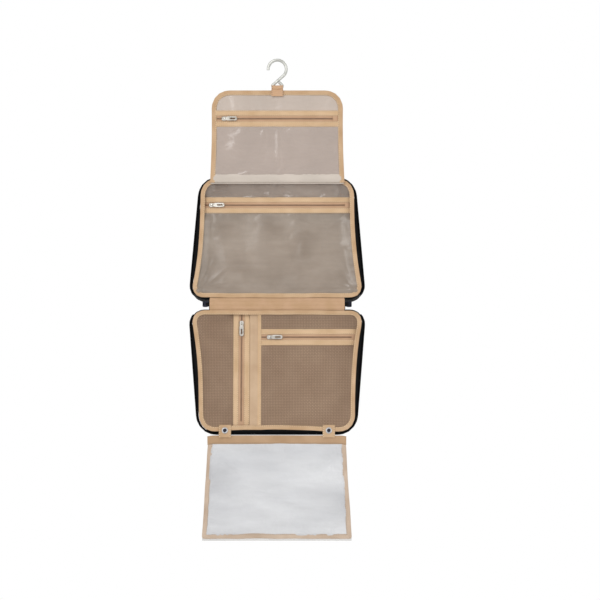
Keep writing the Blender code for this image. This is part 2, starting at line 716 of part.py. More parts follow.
def build_spine(tan, black, meshes, metal):
    low, high = SPINE_LOW_AXIS_Z + CLEARANCE, SPINE_TOP_AXIS_Z - CLEARANCE
    lining_back = RIM_Y + SPINE_LINING_THICKNESS / 2
    reach = SPINE_LINING_LENGTH / 2
    lining = rounded(rectangle(-reach, reach, low, high), [SPINE_LINING_CORNER] * 4, 2)
    add_piece("spine_lining", prism(lining, lining_back - SPINE_LINING_THICKNESS, lining_back), tan, "spine")
    reach = SPINE_COVER_LENGTH / 2
    cover = rounded(rectangle(-reach, reach, low, high), [SPINE_COVER_CORNER] * 4, 3)
    cover_front = lining_back + CLEARANCE
    cover_back = cover_front + SPINE_COVER_THICKNESS
    add_piece("spine_cover", prism(cover, cover_front, cover_back), black, "spine")
    middle = (low + high) / 2
    floor, _, _, axis = slider_heights()
    seat = cover_back + CLEARANCE - floor
    for side, sign, turn in (("left", -1, BEHIND_RIGHT), ("right", 1, BEHIND_LEFT)):
        name = "perimeter_" + side
        spot = (sign * PERIMETER_SLIDER_X, seat, middle)
        pull_spot = (spot[0], seat + axis, middle)
        place_copy(name + "_slider", meshes[0], black, "spine", Matrix.Translation(spot) @ turn)
        make_body(name + "_pull", pull_spot, "spine")
        place_copy(name + "_pull", meshes[1], metal, name + "_pull", Matrix.Translation(pull_spot) @ turn)


def build_lower(tan, net, black, lining, coil, meshes, metal):
    build_half("lower", lower_outline, LOWER_DEPTH, "lower_case", black, tan, lining)
    field = lower_outline(CASE_WALL + CLEARANCE)
    pane = (POCKET_Y - PANE_THICKNESS, POCKET_Y)
    left_net = clip(field, 0, VERTICAL_ZIP_X - ZIP_HALF, True)
    add_piece("lower_left_net", prism(left_net, *pane), net, "lower_case")
    divider_left = VERTICAL_ZIP_X + ZIP_HALF
    divider_right = divider_left + DIVIDER_WIDTH
    divider = between(field, 0, divider_left, divider_right)
    add_piece("divider_strip", prism(divider, POCKET_Y - ZIP_TAPE_THICKNESS, POCKET_Y), tan, "lower_case")
    right = clip(field, 0, divider_right + CLEARANCE, False)
    zip_z = LOWER_HINGE_Z - LOWER_ZIP_DROP
    top_net = clip(right, 1, zip_z + ZIP_HALF, False)
    add_piece("lower_top_net", prism(top_net, *pane), net, "lower_case")
    main_net = clip(right, 1, zip_z - ZIP_HALF, True)
    add_piece("lower_main_net", prism(main_net, *pane), net, "lower_case")

    level = between(field, 1, zip_z - COIL_GAP, zip_z + COIL_GAP)
    last = max(x for x, z in level) - RIM_BINDING_WIDTH - ZIP_END_PATCH
    first = divider_right + COIL_END_GAP
    zip_tapes("lower_zip_tapes", right, 1, zip_z, last, POCKET_Y, tan, "lower_case")
    chain = coil_bar(first, last - CLEARANCE, zip_z, POCKET_Y)
    add_piece("lower_zip_coil", chain, coil, "lower_case")
    start = (first + SLIDER_END_MARGIN, POCKET_Y, zip_z)
    add_slider("lower_zip", "lower_case", start, ACROSS, meshes, metal)

    high = max(z for x, z in field) - COIL_END_GAP
    low = min(z for x, z in field) + COIL_END_GAP
    last = low + RIM_BINDING_WIDTH + ZIP_END_PATCH
    zip_tapes("vertical_zip_tapes", field, 0, VERTICAL_ZIP_X, last, POCKET_Y, tan, "lower_case")
    chain = coil_bar(last + CLEARANCE, high, VERTICAL_ZIP_X, POCKET_Y, True)
    add_piece("vertical_zip_coil", chain, coil, "lower_case")
    start = (VERTICAL_ZIP_X, POCKET_Y, high - RIM_BINDING_WIDTH - SLIDER_END_MARGIN)
    add_slider("vertical_zip", "lower_case", start, DOWN, meshes, metal)

    board_front = RIM_Y + LOWER_DEPTH - BACK_PANEL - CLEARANCE - LINING_BOARD
    middle = (divider_left + divider_right) / 2
    wall = rectangle(middle - PARTITION_THICKNESS / 2, middle + PARTITION_THICKNESS / 2, low, high)
    partition = prism(wall, POCKET_Y + CLEARANCE, board_front - CLEARANCE)
    add_piece("pocket_partition", partition, lining, "lower_case")


def build_tabs(tan, metal):
    """Snap studs on the rim, and the pouch's two tabs with the snap caps that press onto them."""
    stud_radius = STUD_DIAMETER / 2
    socket = stud_radius + CLEARANCE
    stud_height = TAB_THICKNESS + CLEARANCE + STUD_STAND_OUT
    stud = [(0, 0), (stud_radius, 0), (stud_radius, stud_height - STUD_CHAMFER),
            (stud_radius - STUD_CHAMFER, stud_height), (0, stud_height)]
    cap_radius = SNAP_DIAMETER / 2
    depth = stud_height - TAB_THICKNESS
    cap = [(0, depth), (socket, depth), (socket, 0), (cap_radius, 0),
           (cap_radius, CAP_HEIGHT * CAP_SIDE_SHARE),
           (cap_radius - CAP_EDGE, CAP_HEIGHT * CAP_SHOULDER_SHARE),
           (cap_radius * CAP_TOP_SHARE, CAP_HEIGHT), (0, CAP_HEIGHT)]
    drill = [(0, -CUT_MARGIN - TAB_THICKNESS), (socket, -CUT_MARGIN - TAB_THICKNESS), (socket, CUT_MARGIN),
             (0, CUT_MARGIN)]
    corners = [TAB_LOW_CORNER, TAB_LOW_CORNER, TAB_TOP_CORNER, TAB_TOP_CORNER]
    tab_low = POUCH_AXIS_Z + CLEARANCE
    for side, sign in (("left", -1), ("right", 1)):
        x = sign * TAB_SPACING / 2
        seat = (x, TAB_FRONT_Y + TAB_THICKNESS, SNAP_Z)
        add_piece(side + "_snap_stud", turned(stud, seat, STUD_SIDES), metal, "lower_case")
        front = (x, TAB_FRONT_Y - CLEARANCE, SNAP_Z)
        add_piece(side + "_snap_cap", turned(cap, front, CAP_SIDES), metal, "pouch_tabs")
        sides = rectangle(x - TAB_WIDTH / 2, x + TAB_WIDTH / 2, tab_low, tab_low + TAB_HEIGHT)
        tab = prism(rounded(sides, corners, 4), TAB_FRONT_Y, TAB_FRONT_Y + TAB_THICKNESS)
        hole = turned(drill, (x, TAB_FRONT_Y, SNAP_Z), STUD_SIDES)
        add_cut_piece(side + "_pouch_tab", tab, hole, tan, "pouch_tabs")


def build_pouch(tan, pink, milky, clear):
    bottom_z = POUCH_TOP_Z - POUCH_HEIGHT
    back_y = POUCH_FRONT_Y + POUCH_THICKNESS
    band_z = POUCH_TOP_Z - POUCH_BAND
    hem_z = bottom_z + POUCH_HEM
    floor_z = hem_z + POUCH_BINDING_WIDTH
    top = band_z - CLEARANCE
    base = hem_z + CLEARANCE

    def half_width(z):
        share = (POUCH_TOP_Z - z) / POUCH_HEIGHT
        return (POUCH_TOP_WIDTH + (POUCH_BOTTOM_WIDTH - POUCH_TOP_WIDTH) * share) / 2

    def inner_half(z):
        return half_width(z) - POUCH_BINDING_WIDTH

    right = [(half_width(base), base), (half_width(top), top), (inner_half(top), top),
             (inner_half(floor_z), floor_z)]
    left = [(-x, z) for x, z in reversed(right)]
    add_piece("pouch_edge_binding", prism(right + left, POUCH_FRONT_Y, back_y), pink, "pouch")
    low = floor_z + CLEARANCE
    low_half = inner_half(low) - CLEARANCE
    high_half = inner_half(top) - CLEARANCE
    field = [(-low_half, low), (low_half, low), (high_half, top), (-high_half, top)]
    front_pane = prism(field, POUCH_FRONT_Y, POUCH_FRONT_Y + PANE_THICKNESS)
    add_piece("pouch_front_pane", front_pane, milky, "pouch")
    add_piece("pouch_back_pane", prism(field, back_y - PANE_THICKNESS, back_y), milky, "pouch")
    hem = [(-half_width(bottom_z), bottom_z), (half_width(bottom_z), bottom_z),
           (half_width(hem_z), hem_z), (-half_width(hem_z), hem_z)]
    middle = (POUCH_FRONT_Y + back_y) / 2
    add_piece("pouch_hem", prism(hem, middle - PANE_THICKNESS, middle + PANE_THICKNESS), clear, "pouch")
    ply = POUCH_BAND_THICKNESS
    lid_z = POUCH_TOP_Z - ply
    channel = [(POUCH_FRONT_Y, band_z), (POUCH_FRONT_Y, POUCH_TOP_Z), (back_y, POUCH_TOP_Z), (back_y, band_z),
               (back_y - ply, band_z), (back_y - ply, lid_z), (POUCH_FRONT_Y + ply, lid_z),
               (POUCH_FRONT_Y + ply, band_z)]
    reach = POUCH_TOP_WIDTH / 2
    add_piece("pouch_top_band", extrude_x(channel, -reach, reach), tan, "pouch")


def main():
    reset_scene()
    steel = material("satin_wire", (0.55, 0.56, 0.54), 0.35, 1.0)
    silver = material("bright_zip_metal", (0.72, 0.69, 0.64), 0.25, 1.0)
    tan = material("tan_webbing", (0.62, 0.41, 0.23), 0.8)
    pale = material("pale_band", (0.66, 0.59, 0.51), 0.6)
    pink = material("rose_tan_binding", (0.58, 0.46, 0.36), 0.75)
    clear = material("clear_film", (0.50, 0.43, 0.38), 0.25)
    frosted = material("frosted_film", (0.45, 0.38, 0.32), 0.4)
    milky = material("milky_film", (0.72, 0.73, 0.74), 0.4)
    net = material("brown_net", (0.26, 0.16, 0.11), 0.8)
    black = material("black_nylon", (0.012, 0.012, 0.014), 0.7)
    lining = material("tan_lining", (0.38, 0.25, 0.16), 0.8)
    coil = material("tan_zip_coil", (0.50, 0.35, 0.21), 0.5)

    make_body("hook", (0, 0, 0))
    make_body("strap", (0, 0, BAR_Z), "hook")
    make_body("flap", (0, -STRAP_THICKNESS / 2, STRAP_AXIS_Z), "strap")
    make_body("upper_case", (0, FLAP_AXIS_Y, FLAP_AXIS_Z), "flap", HANG_LEAN)
    make_body("spine", (0, RIM_Y, SPINE_TOP_AXIS_Z), "upper_case")
    make_body("lower_case", (0, RIM_Y, SPINE_LOW_AXIS_Z), "spine")
    make_body("pouch_tabs", (0, TAB_FRONT_Y, SNAP_Z), "lower_case")
    make_body("pouch", (0, POUCH_AXIS_Y, POUCH_AXIS_Z), "pouch_tabs", -HANG_LEAN)

    pull = pull_mesh(PULL_LENGTH, PULL_WIDTH)
    pocket_meshes = (slider_mesh(SLIDER_LENGTH, SLIDER_WIDTH), pull)
    perimeter_meshes = (slider_mesh(PERIMETER_SLIDER_LENGTH, PERIMETER_SLIDER_WIDTH), pull)
    build_hook(steel)
    build_strap(tan)
    build_flap(tan, clear, pale, coil, pocket_meshes, silver)
    build_upper(tan, clear, frosted, black, lining, coil, pocket_meshes, silver)
    build_spine(tan, black, perimeter_meshes, black)
    build_lower(tan, net, black, lining, coil, pocket_meshes, silver)
    build_tabs(tan, silver)
    build_pouch(tan, pink, milky, clear)


main()
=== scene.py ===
"""Hanging toiletry bag: soft goods, finishes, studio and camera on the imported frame.

The frame's row coordinates are used throughout: X to the right, pockets facing -Y, Z up, in metres.
"""

import json
import math

import bpy
import numpy as np
from mathutils import Matrix, Vector

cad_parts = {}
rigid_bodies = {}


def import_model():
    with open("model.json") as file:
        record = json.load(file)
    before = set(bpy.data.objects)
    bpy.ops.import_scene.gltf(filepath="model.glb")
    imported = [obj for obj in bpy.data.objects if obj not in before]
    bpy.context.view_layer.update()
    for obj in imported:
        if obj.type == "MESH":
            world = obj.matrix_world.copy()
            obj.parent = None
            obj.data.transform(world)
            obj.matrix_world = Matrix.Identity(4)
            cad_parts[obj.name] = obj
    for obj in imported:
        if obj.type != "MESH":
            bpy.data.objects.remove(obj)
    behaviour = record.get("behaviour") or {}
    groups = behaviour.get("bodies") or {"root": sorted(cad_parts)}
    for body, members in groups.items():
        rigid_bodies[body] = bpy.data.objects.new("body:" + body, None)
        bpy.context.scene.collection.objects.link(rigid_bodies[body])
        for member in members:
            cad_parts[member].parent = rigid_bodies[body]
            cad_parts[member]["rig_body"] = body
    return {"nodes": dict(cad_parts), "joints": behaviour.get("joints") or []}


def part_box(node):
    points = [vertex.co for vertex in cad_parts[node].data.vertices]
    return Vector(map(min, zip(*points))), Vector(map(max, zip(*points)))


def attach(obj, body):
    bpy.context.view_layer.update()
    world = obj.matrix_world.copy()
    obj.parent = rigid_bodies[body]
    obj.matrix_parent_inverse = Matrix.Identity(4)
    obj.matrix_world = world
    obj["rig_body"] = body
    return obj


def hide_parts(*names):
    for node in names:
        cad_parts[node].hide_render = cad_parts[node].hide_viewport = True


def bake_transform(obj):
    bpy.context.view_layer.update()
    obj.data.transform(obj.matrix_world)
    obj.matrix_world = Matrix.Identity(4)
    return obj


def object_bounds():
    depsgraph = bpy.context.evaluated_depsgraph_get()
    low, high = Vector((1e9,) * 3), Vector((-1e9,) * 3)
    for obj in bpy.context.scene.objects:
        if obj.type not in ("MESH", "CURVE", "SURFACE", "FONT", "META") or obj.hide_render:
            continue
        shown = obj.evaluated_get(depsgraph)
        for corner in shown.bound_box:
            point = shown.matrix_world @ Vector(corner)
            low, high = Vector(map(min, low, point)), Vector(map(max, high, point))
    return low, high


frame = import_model()
cad_low, cad_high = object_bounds()
nodes = frame["nodes"]
scene = bpy.context.scene

# The two halves hang from the flap's fold with a forward lean, so that their weight is below it.
# Their pieces are laid out upright and then turned about the fold. The other bodies hang plumb.
PLUMB = ("hook", "strap", "flap", "pouch")
joints = {joint["name"]: joint for joint in frame["joints"]}
FLAP_FOLD = Vector(joints["flap_fold"]["pos_m"])
_, square_y, square_z = joints["snap_release"]["axis"]
lean = math.atan2(-square_z, square_y)
LEANT = Matrix.Translation(FLAP_FOLD) @ Matrix.Rotation(-lean, 4, "X") @ Matrix.Translation(-FLAP_FOLD)


def upright(node):
    """A node's points, with the halves turned back upright."""
    points = np.array([v.co for v in nodes[node].data.vertices])
    if nodes[node]["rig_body"] in PLUMB:
        return points
    back = np.array(LEANT.inverted())
    return points @ back[:3, :3].T + back[:3, 3]


def box(node):
    """Lowest and highest corner of a node laid out upright."""
    points = upright(node)
    return Vector(points.min(axis=0)), Vector(points.max(axis=0))


def linear(red, green, blue):
    """A display colour of 0 to 255 as the linear colour a shader takes."""
    out = []
    for value in (red, green, blue):
        share = value / 255
        out.append(share / 12.92 if share <= 0.04045 else ((share + 0.055) / 1.055) ** 2.4)
    return (*out, 1.0)


# Display colours.
TAN = (204, 172, 137)
TAN_DEEP = (184, 149, 112)
TAN_PINK = (199, 162, 131)
PALE = (212, 200, 188)
ROSE = (205, 184, 164)
LINING = (196, 166, 140)
BLACK = (17, 17, 18)
THREAD = (232, 203, 164)
DULL_THREAD = (230, 200, 160)

# Stitches, and how far inside the outer edge of a tape its film ends.
STITCH_HALF = 0.00042
STITCH_PITCH = 0.0031
STITCH_SHARE = 0.72
FILM_INSET = 0.005

# Film: the colour it lets through, the height of its creases, and how far it lies before a CAD face.
FILM_TINT = (0.93, 0.91, 0.89, 1.0)
FILM_RELIEF = 0.0006
FILM_GAP = 0.0004

# Pocket zips: widths, where film and facing begin beside the middle, and lengths along the run.
ZIP_TAPE_WIDTH = 0.0122
CHAIN_WIDTH = 0.0026
PATCH_WIDTH = 0.0088
FACING_WIDTH = 0.0085
FILM_EDGE = 0.0115
FACING_EDGE = 0.0044
ZIP_TUCK = 0.0035
STOP_GAP = 0.002
CHAIN_BEYOND_STOP = 0.004
PATCH_LENGTH = 0.009

# Pocket faces: where they reach their floor, and how far beside a zip they stay level and then rise.
DISH_REACH = 0.017
LEVEL_BESIDE_ZIP = 0.013
RISE_BESIDE_ZIP = 0.014
NO_LIMIT = 9.0


class Shader:
    """A node material, or a world, under construction."""

    def __init__(self, name, world=None):
        self.owner = world or bpy.data.materials.new(name)
        self.owner.use_nodes = True
        self.tree = self.owner.node_tree
        self.tree.nodes.clear()
        self.output = self.tree.nodes.new("ShaderNodeOutput" + ("World" if world else "Material"))

    def node(self, kind, inputs=None, **settings):
        made = self.tree.nodes.new(kind)
        for key, value in settings.items():
            setattr(made, key, value)
        for key, value in (inputs or {}).items():
            if isinstance(value, bpy.types.NodeSocket):
                self.tree.links.new(value, made.inputs[key])
            else:
                made.inputs[key].default_value = value
        return made

    def math(self, operation, first, second=0.0, third=0.0):
        inputs = {0: first, 1: second, 2: third}
        return self.node("ShaderNodeMath", inputs, operation=operation).outputs[0]

    def mix(self, factor, *ends):
        """Blend of two colours, each a socket, a display colour of three values or a linear one of four."""
        first, second = [linear(*end) if isinstance(end, tuple) and len(end) == 3 else end for end in ends]
        mixed = self.node("ShaderNodeMix", {0: factor, 6: first, 7: second}, data_type="RGBA")
        return mixed.outputs[2]

    def spot(self):
        return self.node("ShaderNodeTexCoord").outputs["Object"]

    def noise(self, scale, detail=2.0, vector=None):
        inputs = {"Scale": scale, "Detail": detail, "Vector": vector or self.spot()}
        return self.node("ShaderNodeTexNoise", inputs).outputs[0]

    def stretched(self, scales, turn=(0.0, 0.0, 0.0)):
        inputs = {"Vector": self.spot(), "Scale": scales, "Rotation": turn}
        return self.node("ShaderNodeMapping", inputs).outputs[0]

    def spread(self, value, low, high, start=0.3, end=0.7):
        """A value stretched to run between two levels, by default over the middle of a noise."""
        inputs = {0: value, 1: start, 2: end, 3: low, 4: high}
        return self.node("ShaderNodeMapRange", inputs).outputs[0]

    def mottled(self, light, dark, scale, detail, vector=None):
        """Two colours in soft blotches."""
        return self.mix(self.spread(self.noise(scale, detail, vector), 0.0, 1.0), light, dark)

    def weave(self):
        """The cloth coordinates of a piece: metres along it and across it."""
        flat = self.node("ShaderNodeUVMap", uv_map="cloth").outputs[0]
        split = self.node("ShaderNodeSeparateXYZ", {0: flat})
        return split.outputs[0], split.outputs[1]

    def wave(self, along, pitch):
        return self.math("SINE", self.math("MULTIPLY", along, math.tau / pitch))

    def bump(self, height, distance, strength=1.0):
        inputs = {"Height": height, "Distance": distance, "Strength": strength}
        return self.node("ShaderNodeBump", inputs).outputs[0]

    def principled(self, **inputs):
        named = {key.replace("_", " "): value for key, value in inputs.items()}
        return self.node("ShaderNodeBsdfPrincipled", named).outputs[0]

    def done(self, surface):
        self.tree.links.new(surface, self.output.inputs["Surface"])
        return self.owner


def darker(colour, share):
    """A share of a display colour's light, as a linear colour."""
    return (*[share * part for part in linear(*colour)[:3]], 1.0)


def cloth_finish(name, light, dark, pitch=0.0009, stitches=(), thread=None, rough=0.85, relief=0.00012,
                 sheen=0.15, gloss=0.5):
    """Woven tape or fabric with ribs, blotches, and rows of stitches at set places across it, with painted
    shade in the holes between the stitches.
    """
    s = Shader(name)
    along, across = s.weave()
    ribs = s.wave(along, pitch)
    yarns = s.wave(across, pitch * 1.3)
    cross = s.math("MULTIPLY", ribs, yarns)
    colour = s.mottled(light, dark, 38.0, 4.0)
    shade = s.math("MULTIPLY_ADD", cross, 0.05, 0.05)
    colour = s.mix(shade, colour, darker(dark, 0.55))
    height = s.math("MULTIPLY_ADD", cross, 0.5, s.math("MULTIPLY", s.noise(900.0, 2.0), 0.8))
    for seam in stitches:
        near = s.math("ABSOLUTE", s.math("SUBTRACT", across, seam))
        row = s.math("LESS_THAN", near, STITCH_HALF)
        beat = s.math("FRACT", s.math("DIVIDE", along, STITCH_PITCH))
        stitch = s.math("MULTIPLY", row, s.math("LESS_THAN", beat, STITCH_SHARE))
        pit = s.math("SUBTRACT", row, stitch)
        colour = s.mix(stitch, colour, thread or light)
        # Painted shade: the needle holes between stitches are darkened.
        colour = s.mix(s.math("MULTIPLY", pit, 0.75), colour, darker(dark, 0.3))
        height = s.math("ADD", height, s.math("MULTIPLY", stitch, 1.6))
        height = s.math("SUBTRACT", height, s.math("MULTIPLY", pit, 2.5))
    normal = s.bump(height, relief)
    return s.done(s.principled(Base_Color=colour, Roughness=rough, Normal=normal, Sheen_Weight=sheen,
                               Specular_IOR_Level=gloss))


def film_finish(name, veil, shade, cover, rough, shade_slant=None):
    """Soft plastic film: a veil over a clear, tinted body, with faint creases and flow marks.

    A slant, in degrees, draws the film's darker blotches out into broad slanting bands of painted shade,
    which also stand in for what the film holds.
    """
    s = Shader(name)
    slanting_shade = None
    # Painted shade: the blotches are drawn out into broad slanting bands.
    if shade_slant is not None:
        slanting_shade = s.stretched((0.3, 1.0, 1.0), (0.0, math.radians(shade_slant), 0.0))
    streak = s.noise(60.0, 3.0, s.stretched((0.4, 1.0, 1.6)))
    grain = s.noise(1400.0, 1.0)
    colour = s.mottled(veil, shade, 16.0, 3.0, slanting_shade)
    height = s.math("ADD", streak, s.math("MULTIPLY", grain, 0.05))
    normal = s.bump(height, FILM_RELIEF, 0.6)
    skin = s.principled(Base_Color=colour, Roughness=rough, Normal=normal, IOR=1.5, Coat_Weight=0.25,
                        Coat_Roughness=rough * 0.5)
    through = s.node("ShaderNodeBsdfTransparent", {"Color": FILM_TINT}).outputs[0]
    share = s.math("ADD", s.spread(streak, -0.05, 0.05), cover)
    both = s.node("ShaderNodeMixShader", {0: share, 1: through, 2: skin}).outputs[0]
    return s.done(both)


def net_finish(name, light, dark, pitch=0.0049, open_share=0.3):
    """Knitted net: round holes in diagonal rows between matt threads."""
    s = Shader(name)
    along, across = s.weave()
    field = s.math("MULTIPLY", s.wave(along, pitch), s.wave(across, pitch))
    hole = s.math("GREATER_THAN", field, open_share)
    colour = s.mottled(light, dark, 30.0, 3.0)
    shade = s.spread(field, 0.0, 0.95, -0.7, 0.3)
    colour = s.mix(shade, colour, darker(dark, 0.4))
    normal = s.bump(field, 0.0003, 0.7)
    thread = s.principled(Base_Color=colour, Roughness=0.8, Normal=normal)
    through = s.node("ShaderNodeBsdfTransparent").outputs[0]
    both = s.node("ShaderNodeMixShader", {0: s.math("MULTIPLY", hole, 0.92), 1: thread, 2: through})
    return s.done(both.outputs[0])


def coil_finish(name, light, dark, pitch=0.0012, gloss=0.5, parting=0.7):
    """Zip chain: a row of ribs square to its run, with painted shade between them, and a parting line down
    the middle.
    """
    s = Shader(name)
    along, across = s.weave()
    teeth = s.wave(along, pitch)
    centre = s.math("LESS_THAN", s.math("ABSOLUTE", across), 0.00028)
    colour = s.mottled(light, dark, 220.0, 2.0)
    # Painted shade: the valleys between the teeth are darkened.
    colour = s.mix(s.spread(teeth, 0.45, 0.0), colour, darker(dark, 0.4))
    colour = s.mix(s.math("MULTIPLY", centre, parting), colour, darker(dark, 0.25))
    height = s.math("SUBTRACT", teeth, s.math("MULTIPLY", centre, 2.0))
    normal = s.bump(height, 0.0003)
    surface = s.principled(Base_Color=colour, Roughness=0.5, Normal=normal, Specular_IOR_Level=gloss)
    return s.done(surface)


def metal_finish(name, light, dark, rough):
    """Plated metal with brushing and darker smudges."""
    s = Shader(name)
    brushed = s.noise(260.0, 3.0, s.stretched((1.0, 1.0, 6.0)))
    smudge = s.noise(190.0, 4.0)
    colour = s.mix(s.spread(smudge, 0.0, 1.0), light, dark)
    roughness = s.spread(smudge, rough * 0.75, rough * 1.35)
    normal = s.bump(brushed, 0.00003, 0.5)
    return s.done(s.principled(Base_Color=colour, Metallic=1.0, Roughness=roughness, Normal=normal))


def hull(node):
    """Convex outline of a node in the X-Z plane, anticlockwise seen from the pockets' side."""
    points = sorted({(round(x, 6), round(z, 6)) for x, _, z in upright(node)})

    def chain(run):
        kept = []
        for p in run:
            while len(kept) > 1:
                a, b = kept[-2], kept[-1]
                if (b[0] - a[0]) * (p[1] - a[1]) - (b[1] - a[1]) * (p[0] - a[0]) > 1e-12:
                    break
                kept.pop()
            kept.append(p)
        return kept[:-1]

    return np.array(chain(points) + chain(points[::-1]))


def travel(points):
    """How far along a run of points each of them is."""
    return np.concatenate([[0], np.cumsum(np.linalg.norm(np.diff(points, axis=0), axis=1))])


def resample(points, count, closed=True):
    """Points evenly spread along a line, or round a loop."""
    run = np.vstack([points, points[:1]]) if closed else points
    steps = travel(run)
    places = np.linspace(0, steps[-1], count, endpoint=not closed)
    return np.stack([np.interp(places, steps, run[:, axis]) for axis in range(2)], axis=1)


def inward(path, closed=True):
    """Unit normals to the left of a path."""
    if closed:
        tangent = np.roll(path, -1, axis=0) - np.roll(path, 1, axis=0)
    else:
        tangent = np.gradient(path, axis=0)
    tangent /= np.linalg.norm(tangent, axis=1)[:, None]
    return np.stack([-tangent[:, 1], tangent[:, 0]], axis=1)


def smooth(value):
    """Rises softly from 0 to 1."""
    value = np.clip(value, 0, 1)
    return value * value * (3 - 2 * value)


def ripple(x, z, size, height, seed, count=5):
    """Soft undulation: a few plane waves of random direction and phase."""
    source = np.random.default_rng(seed)
    total = np.zeros_like(x)
    for _ in range(count):
        turn, phase = source.uniform(0, math.tau, 2)
        pitch = size * source.uniform(0.7, 1.6)
        total = total + np.sin((x * math.cos(turn) + z * math.sin(turn)) * math.tau / pitch + phase)
    return total * height / count


def ridge(x, z, start, end, width, height):
    """A crease that starts at a point and fades out towards another."""
    line = np.subtract(end, start)
    share = np.clip(((x - start[0]) * line[0] + (z - start[1]) * line[1]) / (line @ line), 0, 1)
    away = np.hypot(x - start[0] - share * line[0], z - start[1] - share * line[1])
    return height * (1 - share) * np.exp(-away / width)


def mesh_object(name, points, faces, cloth, finish, smooth_angle=None):
    mesh = bpy.data.meshes.new(name)
    mesh.from_pydata([tuple(p) for p in points], [], faces)
    layer = mesh.uv_layers.new(name="cloth")
    index = np.empty(len(mesh.loops), int)
    mesh.loops.foreach_get("vertex_index", index)
    layer.data.foreach_set("uv", np.asarray(cloth, float)[index].ravel())
    mesh.materials.append(finish)
    mesh.shade_smooth()
    if smooth_angle:
        mesh.set_sharp_from_angle(angle=math.radians(smooth_angle))
    made = bpy.data.objects.new(name, mesh)
    scene.collection.objects.link(made)
    return made


def grid_faces(rows, columns, wrap_rows=False, wrap_columns=False):
    faces = []
    for row in range(rows if wrap_rows else rows - 1):
        for column in range(columns if wrap_columns else columns - 1):
            below, right = (row + 1) % rows, (column + 1) % columns
            faces.append((row * columns + column, row * columns + right, below * columns + right,
                          below * columns + column))
    return faces


def band(name, path, depth, section, finish, closed=False, lift=None):
    """A soft tape of closed section (across, forward) run along an X-Z path at depth y."""
    normal = inward(path, closed)
    count, sides = len(path), len(section)
    depth = np.broadcast_to(depth, (count,))
    lift = np.zeros(count) if lift is None else lift
    gone = travel(path)
    points, cloth = [], []
    for spot in range(count):
        for across, forward in section:
            here = path[spot] + normal[spot] * across
            points.append((here[0], depth[spot] - forward - lift[spot], here[1]))
            cloth.append((gone[spot], across))
    faces = grid_faces(count, sides, closed, True)
    if not closed:
        faces.append(tuple(range(sides)))
        faces.append(tuple(reversed(range((count - 1) * sides, count * sides))))
    return mesh_object(name, points, faces, cloth, finish, 60)


def soft_section(width, thick, start=0.0, sides=18, fullness=0.45):
    """Rounded flat section from start to start + width, centred on the depth."""
    section = []
    for side in range(sides):
        turn = math.tau * side / sides
        c, s = math.cos(turn), math.sin(turn)
        across = start + width / 2 * (1 + math.copysign(abs(c) ** fullness, c))
        section.append((across, thick / 2 * math.copysign(abs(s) ** 0.7, s)))
    return section


def centred_section(width, thick, sides=18, fullness=0.45):
    """Rounded flat section with its middle on the path."""
    return soft_section(width, thick, -width / 2, sides, fullness)


def skin(name, levels, finish):
    """A closed-round wall through equal X-Z loops, each with its depth."""
    points = [(x, y, z) for loop, y in levels for x, z in loop]
    gone = travel(levels[0][0])
    cloth = [(along, y) for _, y in levels for along in gone]
    return mesh_object(name, points, grid_faces(len(levels), len(gone), False, True), cloth, finish)


def rectangle(left, right, bottom, top):
    return np.array([(left, bottom), (right, bottom), (right, top), (left, top)])


def spans(loop, z):
    """Lowest and highest x of a loop at one height."""
    after = np.roll(loop, -1, axis=0)
    low, high = np.minimum(loop[:, 1], after[:, 1]), np.maximum(loop[:, 1], after[:, 1])
    hit = (low <= z) & (high > z)
    a, b = loop[hit], after[hit]
    x = a[:, 0] + (b[:, 0] - a[:, 0]) * ((z - a[:, 1]) / (b[:, 1] - a[:, 1]))
    return x.min(), x.max()


def pane(name, loop, depth, finish, columns, rows, x=(-NO_LIMIT, NO_LIMIT), z=(-NO_LIMIT, NO_LIMIT)):
    """A sheet that fills a loop between limits, with depth(x, z) for its y.

    Ends under half the usual width are left out. Returns the piece, its flat size and its area.
    """
    def sides(heights):
        reach = np.array([spans(loop, height) for height in heights])
        return np.maximum(reach[:, 0], x[0]), np.minimum(reach[:, 1], x[1])

    trial = np.linspace(max(z[0], loop[:, 1].min() + 2e-5), min(z[1], loop[:, 1].max() - 2e-5), 400)
    left, right = sides(trial)
    wide = trial[right - left > 0.5 * np.median(right - left)]
    bottom, top = wide[0], wide[-1]
    heights = np.linspace(bottom, top, rows)
    left, right = sides(heights)
    across = np.linspace(0, 1, columns)
    flat_x = left[:, None] + (right - left)[:, None] * across
    flat_z = np.repeat(heights[:, None], columns, axis=1)
    flat_y = np.broadcast_to(depth(flat_x, flat_z), flat_x.shape)
    points = np.stack([flat_x, flat_y, flat_z], axis=-1).reshape(-1, 3)
    cloth = np.stack([flat_x, flat_z], axis=-1).reshape(-1, 2)
    made = mesh_object(name, points, grid_faces(rows, columns), cloth, finish)
    widths = right - left
    area = float(np.sum((widths[1:] + widths[:-1]) / 2 * np.diff(heights)))
    made["edge"] = [row * columns + column for row in range(rows) for column in range(columns)
                    if row in (0, rows - 1) or column in (0, columns - 1)]
    return made, (float(widths.max()), float(top - bottom)), area


